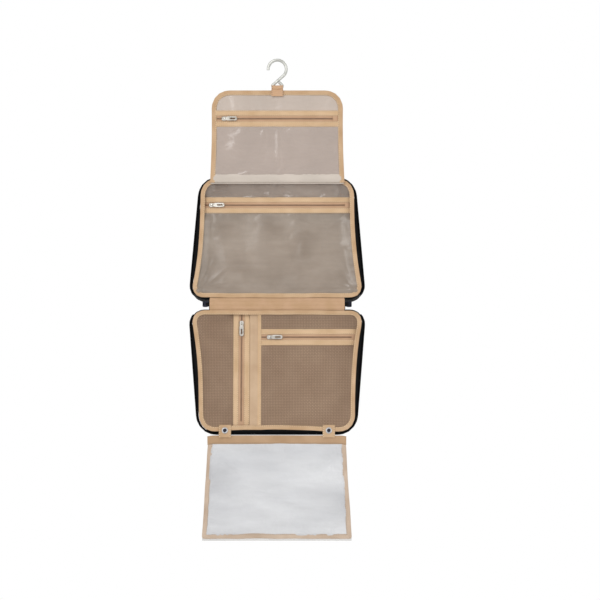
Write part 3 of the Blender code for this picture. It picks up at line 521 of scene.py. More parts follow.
def settle(piece, pressure, slack, cap, frames=16):
    """Cloth pass on a sheet held at its edge: blown out by pressure and let out by its slack."""
    held = piece.vertex_groups.new(name="held")
    held.add(list(piece["edge"]), 1.0, "REPLACE")
    cloth = piece.modifiers.new("cloth", "CLOTH")
    fabric = cloth.settings
    fabric.quality = 4
    fabric.mass = 0.15
    fabric.bending_stiffness = 0.6
    fabric.vertex_group_mass = "held"
    fabric.use_pressure = True
    fabric.uniform_pressure_force = pressure
    fabric.shrink_min = -slack
    fabric.effector_weights.gravity = 0.0
    cloth.point_cache.frame_start = 1
    cloth.point_cache.frame_end = frames
    for moment in range(1, frames + 1):
        scene.frame_set(moment)
    solved = piece.evaluated_get(bpy.context.evaluated_depsgraph_get())
    rest = np.array([v.co for v in piece.data.vertices])
    moved = np.array([v.co for v in solved.data.vertices]) - rest
    far = np.linalg.norm(moved, axis=1)
    moved *= (cap * np.tanh(far / cap) / np.maximum(far, 1e-9))[:, None]
    piece.modifiers.remove(cloth)
    piece.data.vertices.foreach_set("co", (rest + moved).ravel())
    piece.data.update()
    scene.frame_set(1)


def place(piece, body, *stands_for):
    """Puts a piece on its body and in the place of CAD nodes."""
    if body:
        if body not in PLUMB:
            piece.data.transform(LEANT)
        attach(piece, body)
    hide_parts(*stands_for)


def as_sheet(made, body, node):
    piece, flat, area = made
    place(piece, body, node)


# Finishes.
binding = cloth_finish("binding_tape", TAN, TAN_DEEP, stitches=(0.0058,), thread=THREAD)
wide_binding = cloth_finish("flap_tape", TAN, TAN_DEEP, stitches=(0.0066,), thread=THREAD)
facing = cloth_finish("zip_facing", (216, 184, 148), (197, 163, 125),
                      stitches=(0.0011, 0.0072), thread=DULL_THREAD)
zip_cloth = cloth_finish("zip_tape", (200, 164, 133), (186, 149, 118), pitch=0.0007)
plain_tan = cloth_finish("tan_cloth", TAN_PINK, TAN_DEEP)
divider_cloth = cloth_finish("divider_cloth", (206, 178, 147), (188, 158, 128))
tab_tape = cloth_finish("tab_webbing", TAN, TAN_DEEP, stitches=(-0.0082, 0.0082), thread=DULL_THREAD)
strap_tape = cloth_finish("strap_webbing", TAN_PINK, (200, 160, 122), stitches=(0.0013, 0.0177))
band_cloth = cloth_finish("pouch_band_cloth", (188, 155, 122), (172, 139, 105), stitches=(0.0016,))
rose_tape = cloth_finish("rose_tape", ROSE, (185, 162, 141), stitches=(0.0068,))
black_cloth = cloth_finish("black_nylon_cloth", BLACK, (9, 9, 10),
                           rough=0.75, relief=0.0001, sheen=0.0, gloss=0.1)
lining_cloth = cloth_finish("lining_cloth", LINING, (182, 152, 126), pitch=0.0007)
clear_film = film_finish("flap_film", (208, 193, 181), (198, 184, 172), 0.72, 0.22)
pocket_film = film_finish("pocket_film", (192, 176, 166), (182, 167, 157), 0.66, 0.18)
back_film = film_finish("back_film", (190, 176, 166), (180, 166, 156), 0.93, 0.35)
pale_film = film_finish("folded_film", PALE, (198, 187, 175), 0.88, 0.2)
strip_film = film_finish("strip_film", (188, 176, 165), (166, 154, 144), 0.52, 0.08)
frosted = film_finish("frosted_film_finish", (178, 166, 153), (150, 138, 125), 0.66, 0.3)
# Milky film: its darker tone, drawn out in slanting bands, is painted shade across the pouch and also
# stands in for what the pouch holds.
milky = film_finish("milky_film_finish", (230, 231, 233), (187, 188, 192), 0.8, 0.24, 28.0)
hem_film = film_finish("hem_film", (224, 224, 224), (206, 206, 206), 0.5, 0.12)
net = net_finish("net_finish", (193, 163, 136), (169, 139, 114))
tan_coil = coil_finish("tan_coil", (190, 153, 122), (170, 133, 104), parting=0.35)
black_coil = coil_finish("black_coil", (24, 24, 26), (12, 12, 13), gloss=0.12)
wire_metal = metal_finish("wire_satin", (194, 194, 189), (176, 176, 171), 0.5)
pull_metal = metal_finish("pull_plating", (220, 216, 208), (150, 145, 136), 0.24)
dark_metal = metal_finish("slider_enamel", (46, 47, 56), (22, 23, 29), 0.3)


def keep_metal(names, finish, width=0.0):
    """Metal CAD pieces stay as they are, with their own finish and softened edges."""
    for name in names:
        piece = nodes[name]
        piece.data.materials.clear()
        piece.data.materials.append(finish)
        if width:
            soft = piece.modifiers.new("edges", "BEVEL")
            soft.width = width
            soft.segments = 2
            soft.limit_method = "ANGLE"
            soft.angle_limit = math.radians(35)
            soft.harden_normals = True


def snap_finish(name, reach, height):
    """Plated snap whose two caps are dark in the middle."""
    s = Shader(name)
    spot = s.node("ShaderNodeSeparateXYZ", {0: s.spot()})
    across = s.math("SUBTRACT", s.math("ABSOLUTE", spot.outputs[0]), reach)
    up = s.math("SUBTRACT", spot.outputs[2], height)
    squares = s.math("ADD", s.math("MULTIPLY", across, across), s.math("MULTIPLY", up, up))
    away = s.math("SQRT", squares)
    rim = s.spread(away, 0.0, 1.0, 0.0026, 0.0034)
    smudge = s.spread(s.noise(420.0, 3.0), 0.0, 1.0)
    plated = s.mix(smudge, (208, 208, 208), (160, 160, 162))
    # Each cap is coloured dark in its middle.
    dark_middle = s.mix(smudge, (58, 60, 72), (26, 27, 36))
    colour = s.mix(rim, dark_middle, plated)
    roughness = s.spread(smudge, 0.24, 0.4)
    normal = s.bump(s.math("ADD", s.math("MULTIPLY", rim, 2.0), smudge), 0.0002, 0.6)
    surface = s.principled(Base_Color=colour, Metallic=0.9, Roughness=roughness, Normal=normal)
    return s.done(surface)


METAL_EDGE = 0.00012
keep_metal(["hanger_hook"], wire_metal)
zips = ("flap_zip", "upper_zip", "lower_zip", "vertical_zip")
runners = [name + end for name in zips for end in ("_slider", "_pull")]
keep_metal(runners, pull_metal, METAL_EDGE)
perimeter = ["perimeter_" + side + end for side in ("left", "right") for end in ("_slider", "_pull")]
keep_metal(perimeter, dark_metal, METAL_EDGE)
snaps = [side + end for side in ("left", "right") for end in ("_snap_stud", "_snap_cap")]
cap_low, cap_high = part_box("right_snap_cap")
snap_metal = snap_finish("snap_plating", (cap_low.x + cap_high.x) / 2, (cap_low.z + cap_high.z) / 2)
keep_metal(snaps, snap_metal, METAL_EDGE)


def build_strap():
    """One length of webbing: round the hook's bar, then down over the flap's top binding."""
    loop_low, loop_high = box("hook_strap_loop")
    tail_low, tail_high = box("hook_strap_tail")
    top = tail_high.z
    columns = 15
    thick = 0.0005
    bar_z = loop_high.z - (loop_high.y - loop_low.y) / 2
    radius = (loop_high.y - loop_low.y) / 2 - thick
    half = (tail_high.x - tail_low.x) / 2
    line = [(0.0006, top + 0.0004)]
    for turn in np.radians(np.linspace(-160, 160, 25)):
        line.append((-radius * math.sin(turn), bar_z + radius * math.cos(turn)))
    line += [(-0.0013, top + 0.0006), (-0.0008, top - 0.0012)]
    line += [(-0.0006, top - 0.002 - 0.0011 * step) for step in range(7)]
    line = np.array(line)
    side = inward(line, False)
    gone = travel(line)
    points, cloth = [], []
    for sign in (1, -1):
        for spot, (y, z) in enumerate(line):
            for column in range(columns):
                share = column / (columns - 1) * 2 - 1
                rise = 0.0011 * abs(share) ** 3 if z > top + 0.001 else 0.0
                width = half * (1 - 0.06 * smooth((z - top) / 0.004))
                points.append((share * width, y + side[spot][0] * thick * sign,
                               z + side[spot][1] * thick * sign + rise))
                cloth.append((gone[spot], (share + 1) * half))
    rows = len(line)
    faces = grid_faces(rows, columns)
    faces += [tuple(rows * columns + i for i in reversed(face)) for face in grid_faces(rows, columns)]
    rim = list(range(columns))
    rim += [row * columns + columns - 1 for row in range(1, rows)]
    rim += [(rows - 1) * columns + column for column in range(columns - 2, -1, -1)]
    rim += [row * columns for row in range(rows - 2, 0, -1)]
    for index, here in enumerate(rim):
        before = rim[index - 1]
        faces.append((before, here, here + rows * columns, before + rows * columns))
    strap = mesh_object("strap_webbing", points, faces, cloth, strap_tape, 50)
    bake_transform(strap)
    place(strap, None, "hook_strap_loop", "hook_strap_tail")


def zip_run(name, path, depth, body, stop):
    """A pocket zip: recessed tape, a chain up to a patch at its stop, and a folded facing on both sides."""
    tapes = name + "_tapes"
    y = depth(*path.T)
    length = travel(path)
    tape = band(name + "_cloth", path, y + 0.0001, centred_section(ZIP_TAPE_WIDTH, 0.0005, 12), zip_cloth)
    place(tape, body, tapes)
    run_out = length < stop + CHAIN_BEYOND_STOP
    section = centred_section(CHAIN_WIDTH, 0.0008, 12, 0.8)
    chain = band(name + "_chain", path[run_out], y[run_out] - 0.0004, section, tan_coil)
    place(chain, body, name + "_coil")
    section = soft_section(FACING_WIDTH, 0.0012)
    for side, sign in (("_first", 1), ("_second", -1)):
        edge = path + inward(path, False) * (FACING_EDGE * sign)
        run = edge[::sign]
        y_run = depth(*edge.T)[::sign] - 0.0006
        wobble = ripple(*run.T, 0.05, 0.0003, len(name) + sign)
        lap = band(name + side + "_facing", run, y_run, section, facing, lift=wobble)
        place(lap, body, tapes)
    kept = (length > stop) & (length < stop + PATCH_LENGTH)
    section = centred_section(PATCH_WIDTH, 0.001, 14)
    patch = band(name + "_end_patch", path[kept], y[kept] - 0.0008, section, zip_cloth)
    place(patch, body, tapes)


def build_flap():
    """Clear flap: edge tape, three films, a folded band at its foot, and a zip."""
    outline = hull("flap_binding")
    low, high = box("flap_binding")
    first = int(np.argmax(outline[:, 0] - outline[:, 1]))
    path = resample(np.roll(outline, -first, axis=0), 220, False)
    normal = inward(path, False)
    share = (path[:, 1] - low.z) / (high.z - low.z)
    bow = 0.0016 * np.sin(math.pi * np.clip(share, 0, 1)) * smooth((np.abs(normal[:, 0]) - 0.6) / 0.3)
    path = path + normal * bow[:, None]
    middle_y = (low.y + high.y) / 2
    wobble = ripple(*path.T, 0.06, 0.00015, 4)
    tape = band("flap_edge_tape", path, middle_y, soft_section(0.0078, 0.0023), wide_binding, lift=wobble)
    place(tape, "flap", "flap_binding")
    inner = path + inward(path, False) * FILM_INSET
    loop = np.vstack([inner, [(inner[-1, 0], low.z), (inner[0, 0], low.z)]])
    zip_y = box("flap_zip_tapes")[1].y
    coil_low, coil_high = box("flap_zip_coil")
    zip_z = (coil_low.z + coil_high.z) / 2
    hinge_z = box("flap_hinge_band")[1].z

    def front(x, z):
        up = np.clip((z - low.z) / (zip_z - low.z), 0, 1)
        swell = 0.0008 * np.sin(math.pi * up) * np.cos(x / 0.075)
        creases = ridge(x, z, (-0.045, -0.176), (-0.086, -0.186), 0.0016, 0.0009)
        creases = creases + ridge(x, z, (-0.038, -0.170), (0.03, -0.184), 0.0014, 0.0007)
        creases = creases + ridge(x, z, (-0.095, -0.108), (-0.07, -0.135), 0.002, 0.0006)
        return zip_y - 0.0003 - swell - creases - ripple(x, z, 0.06, 0.00022, 11)

    def back(x, z):
        return high.y - FILM_GAP + ripple(x, z, 0.08, 0.0002, 12)

    top = pane("flap_top_film", loop, front, clear_film, 70, 24, z=(zip_z + FILM_EDGE, NO_LIMIT))
    settle(top[0], 0.0, 0.004, 0.0005)
    as_sheet(top, "flap", "flap_top_pane")
    limits = (hinge_z - 0.002, zip_z - FILM_EDGE)
    pocket = pane("flap_pocket_film", loop, front, pocket_film, 90, 48, z=limits)
    settle(pocket[0], 0.0, 0.006, 0.0007)
    as_sheet(pocket, "flap", "flap_pocket_pane")
    rear = pane("flap_back_film", loop, back, back_film, 60, 40)
    as_sheet(rear, "flap", "flap_back_panel")

    def roll(x, z):
        share = np.clip((z - low.z) / (hinge_z - low.z), 0, 1)
        curl = 0.0011 * np.sin(math.pi * share) ** 0.7
        return zip_y - FILM_GAP - curl - ripple(x, z, 0.05, 0.00025, 15)

    hem = pane("flap_folded_band", loop, roll, pale_film, 80, 14, z=(low.z, hinge_z))
    as_sheet(hem, "flap", "flap_hinge_band")
    path = np.linspace((coil_low.x - 0.002, zip_z), (coil_high.x + 0.0088, zip_z), 90)
    stop = coil_high.x - STOP_GAP - path[0, 0]
    zip_run("flap_zip", path, lambda x, z: np.full_like(x, zip_y), "flap", stop)


def build_flap_hinge():
    """Folded film that carries the flap on the upper half."""
    low, high = box("flap_hinge_strip")
    middle_z = (low.z + high.z) / 2
    path = np.linspace((low.x + 0.001, middle_z), (high.x - 0.001, middle_z), 60)
    section = centred_section(high.z - low.z, (high.y - low.y) * 0.9, 14, 0.8)
    wobble = ripple(*path.T, 0.04, 0.0001, 21)
    strip = band("flap_hinge_fold", path, (low.y + high.y) / 2, section, pale_film, lift=wobble)
    place(strip, "upper_case", "flap_hinge_strip")


def half_loops(side, hinge_low):
    """Outline of a half, its rim pulled in at mid-side, and the inward normals of both."""
    outline = resample(hull(side + "_gusset"), 360)
    normal = inward(outline)
    low, high = outline[:, 1].min(), outline[:, 1].max()
    rise = (outline[:, 1] - low) / (high - low)
    rise = rise if hinge_low else 1 - rise
    sides = smooth((np.abs(normal[:, 0]) - 0.55) / 0.35)
    bow = 0.0054 * np.sin(math.pi * np.clip(rise, 0, 1) ** 0.85) ** 1.2 * sides
    ends = smooth((np.abs(normal[:, 1]) - 0.8) / 0.2)
    if not hinge_low:
        middle = np.cos(np.clip(outline[:, 0] / (0.95 * outline[:, 0].max()), -1, 1) * math.pi / 2) ** 2
        bow = bow + 0.0042 * middle * ends * smooth((rise - 0.9) / 0.1)
    wander = ripple(*outline.T, 0.09, 0.0011, 31 if hinge_low else 37) * (0.35 + ends)
    rim = outline + normal * (0.0016 + bow + np.abs(wander))[:, None]
    return outline, normal, rim, inward(rim)


def dished(loop, border, floor, reach, zip_gap=None):
    """Depth of a pocket face that falls from the rim to its floor, and lies level where a zip runs."""
    start = loop[::3]
    step = np.roll(start, -1, axis=0) - start
    square = (step ** 2).sum(axis=1)

    def depth(x, z):
        away_x = x[..., None] - start[:, 0]
        away_z = z[..., None] - start[:, 1]
        share = np.clip((away_x * step[:, 0] + away_z * step[:, 1]) / square, 0, 1)
        gap = np.hypot(away_x - share * step[:, 0], away_z - share * step[:, 1]).min(-1)
        rise = 1 - smooth(gap / reach)
        if zip_gap is not None:
            rise = rise * smooth((zip_gap(x, z) - LEVEL_BESIDE_ZIP) / RISE_BESIDE_ZIP)
        return floor + (border - floor) * rise

    return depth


def build_half(side, body, hinge_low):
    """Padded walls and back, lining, rim tape and perimeter zip of one half.

    Returns the loop that its pocket faces fill and the depth of their border.
    """
    outline, normal, rim, rim_normal = half_loops(side, hinge_low)
    rim_low, rim_high = box(side + "_rim_binding")
    back_y = box(side + "_back_panel")[1].y
    board_y = box(side + "_lining_board")[0].y
    depth = back_y - rim_high.y
    puff = ripple(*outline.T, 0.07, 0.0005, 41)[:, None] * normal
    levels = [(rim - rim_normal * 0.0005, rim_high.y - 0.0002)]
    for share, weight, out in ((0.03, 0.6, 0.0), (0.06, 0.2, 0.0), (0.1, 0.0, 0.0), (0.24, 0.0, 0.0004),
                               (0.45, 0.0, 0.0009), (0.7, 0.0, 0.0011), (0.88, 0.0, 0.0006),
                               (0.95, 0.0, -0.0006)):
        ring = rim * weight + outline * (1 - weight) - normal * out + puff * math.sin(math.pi * share)
        levels.append((ring, rim_high.y + depth * share))
    wall = skin(side + "_padded_wall", levels, black_cloth)
    place(wall, body, side + "_gusset")
    inner = [(rim + rim_normal * 0.0006, rim_high.y + 0.0003),
             (outline + normal * 0.0035, rim_high.y + depth * 0.35),
             (outline + normal * 0.0032, board_y + 0.0002)]
    lining = skin(side + "_wall_lining", inner, lining_cloth)
    place(lining, body, side + "_gusset")

    def slack(x, z):
        return board_y - 0.0003 - np.abs(ripple(x, z, 0.09, 0.0007, 43))

    floor = pane(side + "_lining_cloth", outline + normal * 0.0026, slack, lining_cloth, 60, 44)
    place(floor[0], body, side + "_lining_board")
    edge = outline + normal * 0.0009
    edge_y = levels[-1][1] - 0.0004
    domed = dished(edge, edge_y, back_y - 0.0004, 0.016)

    def padding(x, z):
        return domed(x, z) + ripple(x, z, 0.1, 0.0004, 47)

    rear = pane(side + "_padded_back", edge, padding, black_cloth, 84, 62)
    settle(rear[0], 0.6, 0.006, 0.0014)
    place(rear[0], body, side + "_back_panel")
    tape_y = (rim_low.y + rim_high.y) / 2
    wobble = ripple(*rim.T, 0.045, 0.0003, 53)
    tape = band(side + "_rim_tape", rim, tape_y, soft_section(0.007, 0.0017), binding, True, wobble)
    place(tape, body, side + "_rim_binding")
    hinge_z = outline[:, 1].min() if hinge_low else outline[:, 1].max()
    join = np.abs(rim[:, 1] - hinge_z) < 0.012
    seam = join & (rim[:, 0] > -0.001) & (rim[:, 0] < 0.010)
    order = np.argsort(rim[seam][:, 0])
    lap_path = rim[seam][order] if hinge_low else rim[seam][order][::-1]
    section = soft_section(0.0073, 0.0019, -0.00015)
    lap = band(side + "_rim_tape_end", lap_path, tape_y - 0.0004, section, binding)
    place(lap, body, side + "_rim_binding")
    zip_low, zip_high = box(side + "_perimeter_zip")
    open_run = np.abs(outline[:, 1] - hinge_z) > 0.0075
    start = int(np.argmax(open_run & ~np.roll(open_run, 1)))
    run = np.roll(outline, -start, axis=0)[: int(open_run.sum())]
    reach = zip_high.y - zip_low.y
    tape_section = [(0.0, 0.0), (-0.0009, -0.0006), (-0.0011, -reach * 0.35), (-0.001, -reach * 0.76),
                    (-0.0003, -reach * 0.8), (0.0, -reach * 0.4)]
    side_tape = band(side + "_perimeter_tape", run, zip_low.y + 0.0004, tape_section, black_cloth)
    place(side_tape, body, side + "_perimeter_zip")
    chain = band(side + "_perimeter_chain", run - inward(run, False) * 0.0011, zip_high.y - 0.0012,
                 centred_section(0.0018, 0.002, 10, 0.8), black_coil)
    place(chain, body, side + "_perimeter_zip")
    return rim + rim_normal * 0.0035, rim_high.y + 0.0006


def build_upper():
    """Upper half with its frosted pocket, clear strip and zip."""
    loop, border = build_half("upper", "upper_case", True)
    film_y = box("upper_pocket_pane")[1].y
    coil_low, coil_high = box("upper_zip_coil")
    zip_z = (coil_low.z + coil_high.z) / 2
    bowl = dished(loop, border, film_y - FILM_GAP, DISH_REACH, lambda x, z: np.abs(z - zip_z))
    corner_left = (loop[:, 0].min() + 0.006, loop[:, 1].min() + 0.008)
    corner_right = (-corner_left[0], corner_left[1])
    # The folded flap lays the strap's end here, in a hollow of the film.
    strap_z = 2 * FLAP_FOLD.z - box("hook_strap_tail")[1].z
    # Reach right and up, and height, of the creases that fan out from both lower corners.
    fan = ((0.045, 0.038, 0.0034), (0.06, 0.019, 0.0026), (0.025, 0.055, 0.0024), (0.07, 0.007, 0.0018))

    def frosted_depth(x, z):
        y = bowl(x, z) + ripple(x, z, 0.075, 0.0009, 61) + ripple(x, z, 0.03, 0.0002, 62)
        y = y + 0.0016 * np.exp(-(x / 0.026) ** 2 - ((z - strap_z) / 0.026) ** 2)
        for corner, sign in ((corner_left, 1), (corner_right, -1)):
            for spread_x, spread_z, height in fan:
                end = (corner[0] + sign * spread_x, corner[1] + spread_z)
                y = y - ridge(x, z, corner, end, 0.0022, height)
        y = y - ridge(x, z, (0.02, zip_z - 0.016), (0.075, zip_z - 0.04), 0.002, 0.0012)
        return y - ridge(x, z, (0.075, zip_z - 0.04), (0.105, zip_z - 0.02), 0.002, 0.0012)

    def strip_depth(x, z):
        return bowl(x, z) + ripple(x, z, 0.035, 0.0012, 63)

    limits = (-NO_LIMIT, zip_z - FILM_EDGE)
    main = pane("upper_pocket_film", loop, frosted_depth, frosted, 110, 74, z=limits)
    settle(main[0], 0.0, 0.003, 0.0007)
    as_sheet(main, "upper_case", "upper_pocket_pane")
    strip = pane("upper_strip_film", loop, strip_depth, strip_film, 90, 24, z=(zip_z + FILM_EDGE, NO_LIMIT))
    settle(strip[0], 0.0, 0.012, 0.0014)
    as_sheet(strip, "upper_case", "upper_clear_strip")
    left, right = spans(loop, zip_z)
    path = np.linspace((left - ZIP_TUCK, zip_z), (right + ZIP_TUCK, zip_z), 120)
    zip_run("upper_zip", path, bowl, "upper_case", coil_high.x - STOP_GAP - path[0, 0])


def build_spine():
    """Creased lining and black cover, their turned folds, and the perimeter chain's ends."""
    low, high = box("spine_lining")
    cover_y = box("spine_cover")[1].y
    reach = high.x + 0.001

    def folded(x, z):
        share = (z - low.z) / (high.z - low.z)
        creases = 0.0007 * np.exp(-((share - 0.32) / 0.07) ** 2)
        creases = creases + 0.0005 * np.exp(-((share - 0.72) / 0.06) ** 2)
        return low.y + 0.0003 + creases + ripple(x, z, 0.06, 0.00025, 71)

    def cover(x, z):
        return cover_y - 0.0002 + ripple(x, z, 0.05, 0.0002, 72)

    loop = rectangle(low.x, high.x, low.z, high.z)
    face, _, _ = pane("spine_cloth", loop, folded, plain_tan, 90, 26)
    place(face, "spine", "spine_lining")
    loop = rectangle(-reach, reach, low.z, high.z)
    rear, _, _ = pane("spine_black_cloth", loop, cover, black_cloth, 60, 14)
    place(rear, "spine", "spine_cover")
    layers = (
        ("fold", plain_tan, "spine_lining", low.y + 0.0002, 0.0024, high.x - 0.0004),
        ("black_fold", black_cloth, "spine_cover", cover_y, 0.0008, reach - 0.0004),
    )
    for name, axis_z, sign in (("upper", high.z + 0.0005, 1), ("lower", low.z - 0.0005, -1)):
        edge = axis_z + sign * 0.0048
        inside = axis_z - sign * 0.0024
        for kind, finish, node, near, fall, half in layers:
            loop = rectangle(-half, half, min(edge, inside), max(edge, inside))

            def turned(x, z):
                share = smooth((z - inside) / (edge - inside))
                return near + fall * share + ripple(x, z, 0.04, 0.0001, 73)

            turn, _, _ = pane(name + "_spine_" + kind, loop, turned, finish, 70, 12)
            turn.data.transform(LEANT)
            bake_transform(turn)
            place(turn, None, node)
    for side, sign in (("left", -1), ("right", 1)):
        slider_low, slider_high = box("perimeter_" + side + "_slider")
        middle = (slider_low.z + slider_high.z) / 2
        ends = sorted((sign * (reach - 0.004), (slider_low.x + slider_high.x) / 2))
        stub = np.linspace((ends[0], middle), (ends[1], middle), 14)
        section = centred_section(0.0044, 0.0008, 12)
        chain = band(side + "_perimeter_stub", stub, cover_y - 0.0004, section, black_coil)
        place(chain, "spine", "spine_cover")


def build_lower():
    """Lower half with three nets, two zips, the divider strip and the partition behind it."""
    loop, border = build_half("lower", "lower_case", False)
    film_y = box("lower_main_net")[1].y
    coil_low, coil_high = box("lower_zip_coil")
    zip_z = (coil_low.z + coil_high.z) / 2
    up_low, up_high = box("vertical_zip_coil")
    zip_x = (up_low.x + up_high.x) / 2
    strip_low, strip_high = box("divider_strip")

    def zip_gap(x, z):
        level_run = np.where(x > strip_high.x, np.abs(z - zip_z), 1.0)
        return np.minimum(np.abs(x - zip_x), level_run)

    bowl = dished(loop, border, film_y - FILM_GAP, DISH_REACH, zip_gap)

    def slack(x, z):
        return bowl(x, z) + ripple(x, z, 0.06, 0.0012, 81) + ripple(x, z, 0.025, 0.0003, 82)

    right_of_strip = (strip_high.x - 0.002, NO_LIMIT)
    regions = (
        ("lower_left_net", (-NO_LIMIT, zip_x - FILM_EDGE), (-NO_LIMIT, NO_LIMIT), 46, 84),
        ("lower_top_net", right_of_strip, (zip_z + FILM_EDGE, NO_LIMIT), 80, 26),
        ("lower_main_net", right_of_strip, (-NO_LIMIT, zip_z - FILM_EDGE), 80, 64),
    )
    for node, x, z, columns, rows in regions:
        made = pane(node + "_cloth", loop, slack, net, columns, rows, x, z)
        settle(made[0], 0.0, 0.008, 0.0012)
        as_sheet(made, "lower_case", node)
    right = spans(loop, zip_z)[1]
    path = np.linspace((strip_high.x, zip_z), (right + ZIP_TUCK, zip_z), 90)
    zip_run("lower_zip", path, bowl, "lower_case", coil_high.x - STOP_GAP - strip_high.x)
    beside = [z for x, z in loop if abs(x - zip_x) < 0.01]
    top, low = max(beside), min(beside)
    path = np.linspace((zip_x, top + ZIP_TUCK), (zip_x, low - ZIP_TUCK), 110)
    zip_run("vertical_zip", path, bowl, "lower_case", path[0, 1] - up_low.z - STOP_GAP)
    middle = (strip_low.x + strip_high.x) / 2
    path = np.linspace((middle, top), (middle, low), 110)
    section = centred_section(strip_high.x - strip_low.x, 0.0011, 26)
    wobble = ripple(*path.T, 0.05, 0.0004, 85)
    strip = band("divider_cloth_strip", path, bowl(*path.T) - 0.0002, section, divider_cloth, lift=wobble)
    place(strip, "lower_case", "divider_strip")
    seam_x = strip_high.x - 0.003
    path = np.linspace((seam_x, top), (seam_x, low), 110)
    wobble = ripple(*path.T, 0.03, 0.0003, 86)
    section = centred_section(0.0056, 0.001)
    seam = band("divider_seam", path, bowl(*path.T) - 0.0009, section, facing, lift=wobble)
    place(seam, "lower_case", "divider_strip")
    wall_low, wall_high = box("pocket_partition")
    heights = np.linspace(wall_low.z + 0.002, wall_high.z - 0.002, 40)
    depths = np.linspace(wall_low.y, wall_high.y, 12)
    wall_x = (wall_low.x + wall_high.x) / 2
    cloth = [(z, y) for z in heights for y in depths]
    points = [(wall_x + 0.0006 * math.sin(z * 70 + y * 90), y, z) for z, y in cloth]
    wall = mesh_object("partition_cloth", points, grid_faces(40, 12), cloth, lining_cloth)
    place(wall, "lower_case", "pocket_partition")


def build_pouch():
    """Milky pouch: edge tape, two films, a clear hem and the folded band at its top."""
    low, high = box("pouch_edge_binding")
    band_low, band_high = box("pouch_top_band")
    hem_low, hem_high = box("pouch_hem")
    outline = hull("pouch_edge_binding")
    left = outline[outline[:, 0] < 0]
    right = outline[outline[:, 0] > 0]
    corners = [left[np.argmax(left[:, 1])], left[np.argmin(left[:, 1])], right[np.argmin(right[:, 1])],
               right[np.argmax(right[:, 1])]]
    path = resample(np.array(corners), 260, False)
    for _ in range(3):
        path[1:-1] = (path[:-2] + 2 * path[1:-1] + path[2:]) / 4
    middle = (low.y + high.y) / 2
    thick = high.y - low.y
    wobble = ripple(*path.T, 0.07, 0.0004, 91)
    path = path + inward(path, False) * np.abs(ripple(*path.T, 0.09, 0.0012, 92))[:, None]
    edge = band("pouch_edge_tape", path, middle, soft_section(0.008, thick * 0.55), rose_tape, lift=wobble)
    place(edge, "pouch", "pouch_edge_binding")
    loop = path + inward(path, False) * FILM_INSET
    loop = np.vstack([loop, [(loop[-1, 0], band_low.z + 0.004), (loop[0, 0], band_low.z + 0.004)]])
    z_low, z_high = loop[:, 1].min(), loop[:, 1].max()

    def swell(x, z):
        up = np.clip((z - z_low) / (z_high - z_low), 0, 1)
        half = np.abs(loop[:, 0]).max()
        return np.sin(math.pi * up) ** 0.6 * np.cos(np.clip(x / half, -1, 1) * math.pi / 2) ** 0.6

    def front(x, z):
        crease = ridge(x, z, (-0.095, -0.62), (-0.03, -0.665), 0.006, 0.0016)
        crease = crease + ridge(x, z, (-0.06, -0.665), (0.09, -0.71), 0.008, 0.0016)
        crease = crease + ridge(x, z, (0.095, -0.62), (0.05, -0.66), 0.007, 0.0014)
        return middle - 0.0008 - (0.0022 + crease) * swell(x, z) - ripple(x, z, 0.09, 0.0007, 95)

    def back(x, z):
        return middle + 0.0008 + 0.0011 * swell(x, z) + ripple(x, z, 0.1, 0.0003, 96)

    for name, depth, node, push, cap in (("pouch_front_film", front, "pouch_front_pane", -0.5, 0.0012),
                                         ("pouch_back_film", back, "pouch_back_pane", 0.5, 0.0005)):
        made = pane(name, loop, depth, milky, 96, 72)
        settle(made[0], push, 0.006, cap)
        as_sheet(made, "pouch", node)
    run = np.linspace((hem_low.x + 0.001, hem_low.z), (hem_high.x - 0.001, hem_low.z), 80)
    section = soft_section(hem_high.z - hem_low.z + 0.002, 0.0012)
    hem = band("pouch_clear_hem", run, middle, section, hem_film)
    place(hem, "pouch", "pouch_hem")
    run = np.linspace((band_low.x - 0.0012, band_low.z), (band_high.x + 0.0012, band_low.z), 120)
    ends = smooth((np.abs(run[:, 0]) - band_high.x + 0.008) / 0.008)
    run[:, 1] = run[:, 1] - 0.0012 * ends + ripple(*run.T, 0.08, 0.0004, 97)
    section = soft_section(band_high.z - band_low.z, (band_high.y - band_low.y) * 0.92, sides=24)
    wobble = ripple(*run.T, 0.07, 0.0003, 98)
    band_y = (band_low.y + band_high.y) / 2
    top = band("pouch_band_cloth_fold", run, band_y, section, band_cloth, lift=wobble)
    place(top, "pouch", "pouch_top_band")


def build_tabs():
    """Webbing tabs that run between the lower half and the pouch."""
    for side in ("left", "right"):
        low, high = box(side + "_pouch_tab")
        middle = (low.x + high.x) / 2
        run = np.linspace((middle, low.z - 0.0035), (middle, high.z - 0.0004), 30)
        section = centred_section(high.x - low.x, 0.0012, 22)
        tab = band(side + "_tab_cloth", run, (low.y + high.y) / 2, section, tab_tape)
        tab.data.transform(LEANT)
        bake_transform(tab)
        place(tab, None, side + "_pouch_tab")


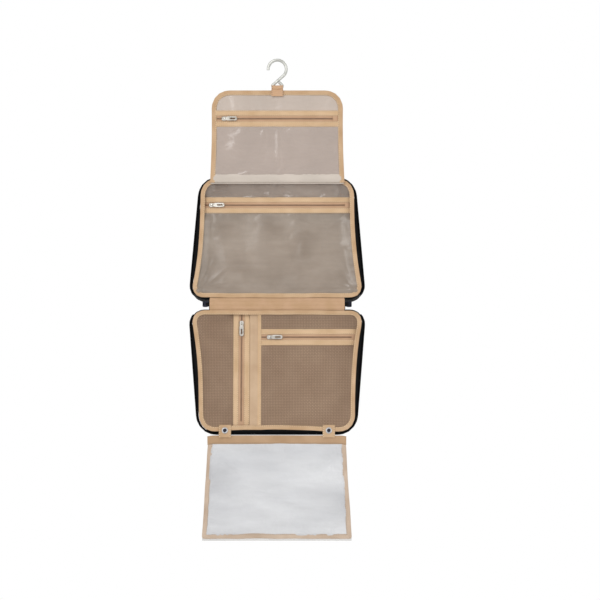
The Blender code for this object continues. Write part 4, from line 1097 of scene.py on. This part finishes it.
def build_studio():
    """Pale round floor, white surroundings, three lamps and the camera."""
    centre = (cad_low + cad_high) / 2
    radius = 0.7
    floor_z = cad_low.z - 0.26
    corners = 64
    turns = [math.tau * i / corners for i in range(corners)]
    points = [(radius * math.cos(turn), radius * math.sin(turn), floor_z) for turn in turns]
    s = Shader("studio_floor")
    colour = s.mottled((246, 246, 245), (240, 240, 239), 30.0, 4.0)
    floor = mesh_object("studio_floor", points, [tuple(range(corners))], [p[:2] for p in points],
                        s.done(s.principled(Base_Color=colour, Roughness=0.9)))
    scene.world = bpy.data.worlds.new("studio_light")
    s = Shader("studio_light", scene.world)
    path = s.node("ShaderNodeLightPath")
    seen = s.math("MAXIMUM", path.outputs["Is Camera Ray"], path.outputs["Is Transmission Ray"])
    seen = s.math("MAXIMUM", seen, path.outputs["Is Glossy Ray"])
    inputs = {"Color": (1.0, 1.0, 1.0, 1.0), "Strength": s.spread(seen, 0.72, 1.0, 0.0, 1.0)}
    s.done(s.node("ShaderNodeBackground", inputs).outputs[0])
    lamps = (
        ("key", (-0.9, -1.7, 0.55), 1.1, 16.0),
        ("fill", (1.3, -1.5, -0.2), 1.2, 7.0),
        ("rear", (0.5, 1.6, 0.4), 1.0, 9.0),
    )
    for name, spot, size, power in lamps:
        light = bpy.data.lights.new(name, "AREA")
        light.size = size
        light.energy = power
        lamp = bpy.data.objects.new(name, light)
        lamp.location = spot
        lamp.rotation_mode = "QUATERNION"
        aim = centre - lamp.location
        lamp.rotation_quaternion = aim.to_track_quat("-Z", "Y")
        scene.collection.objects.link(lamp)
    lens = bpy.data.cameras.new("photo_camera")
    lens.lens = 85.0
    lens.sensor_width = 36.0
    camera = bpy.data.objects.new("photo_camera", lens)
    camera.location = (0.0361, -2.2525, -0.379)
    camera.rotation_euler = (math.pi / 2, 0.0, 0.0)
    scene.collection.objects.link(camera)
    scene.camera = camera
    scene.view_settings.view_transform = "Standard"


build_strap()
build_flap()
build_flap_hinge()
build_upper()
build_spine()
build_lower()
build_pouch()
build_tabs()
build_studio()
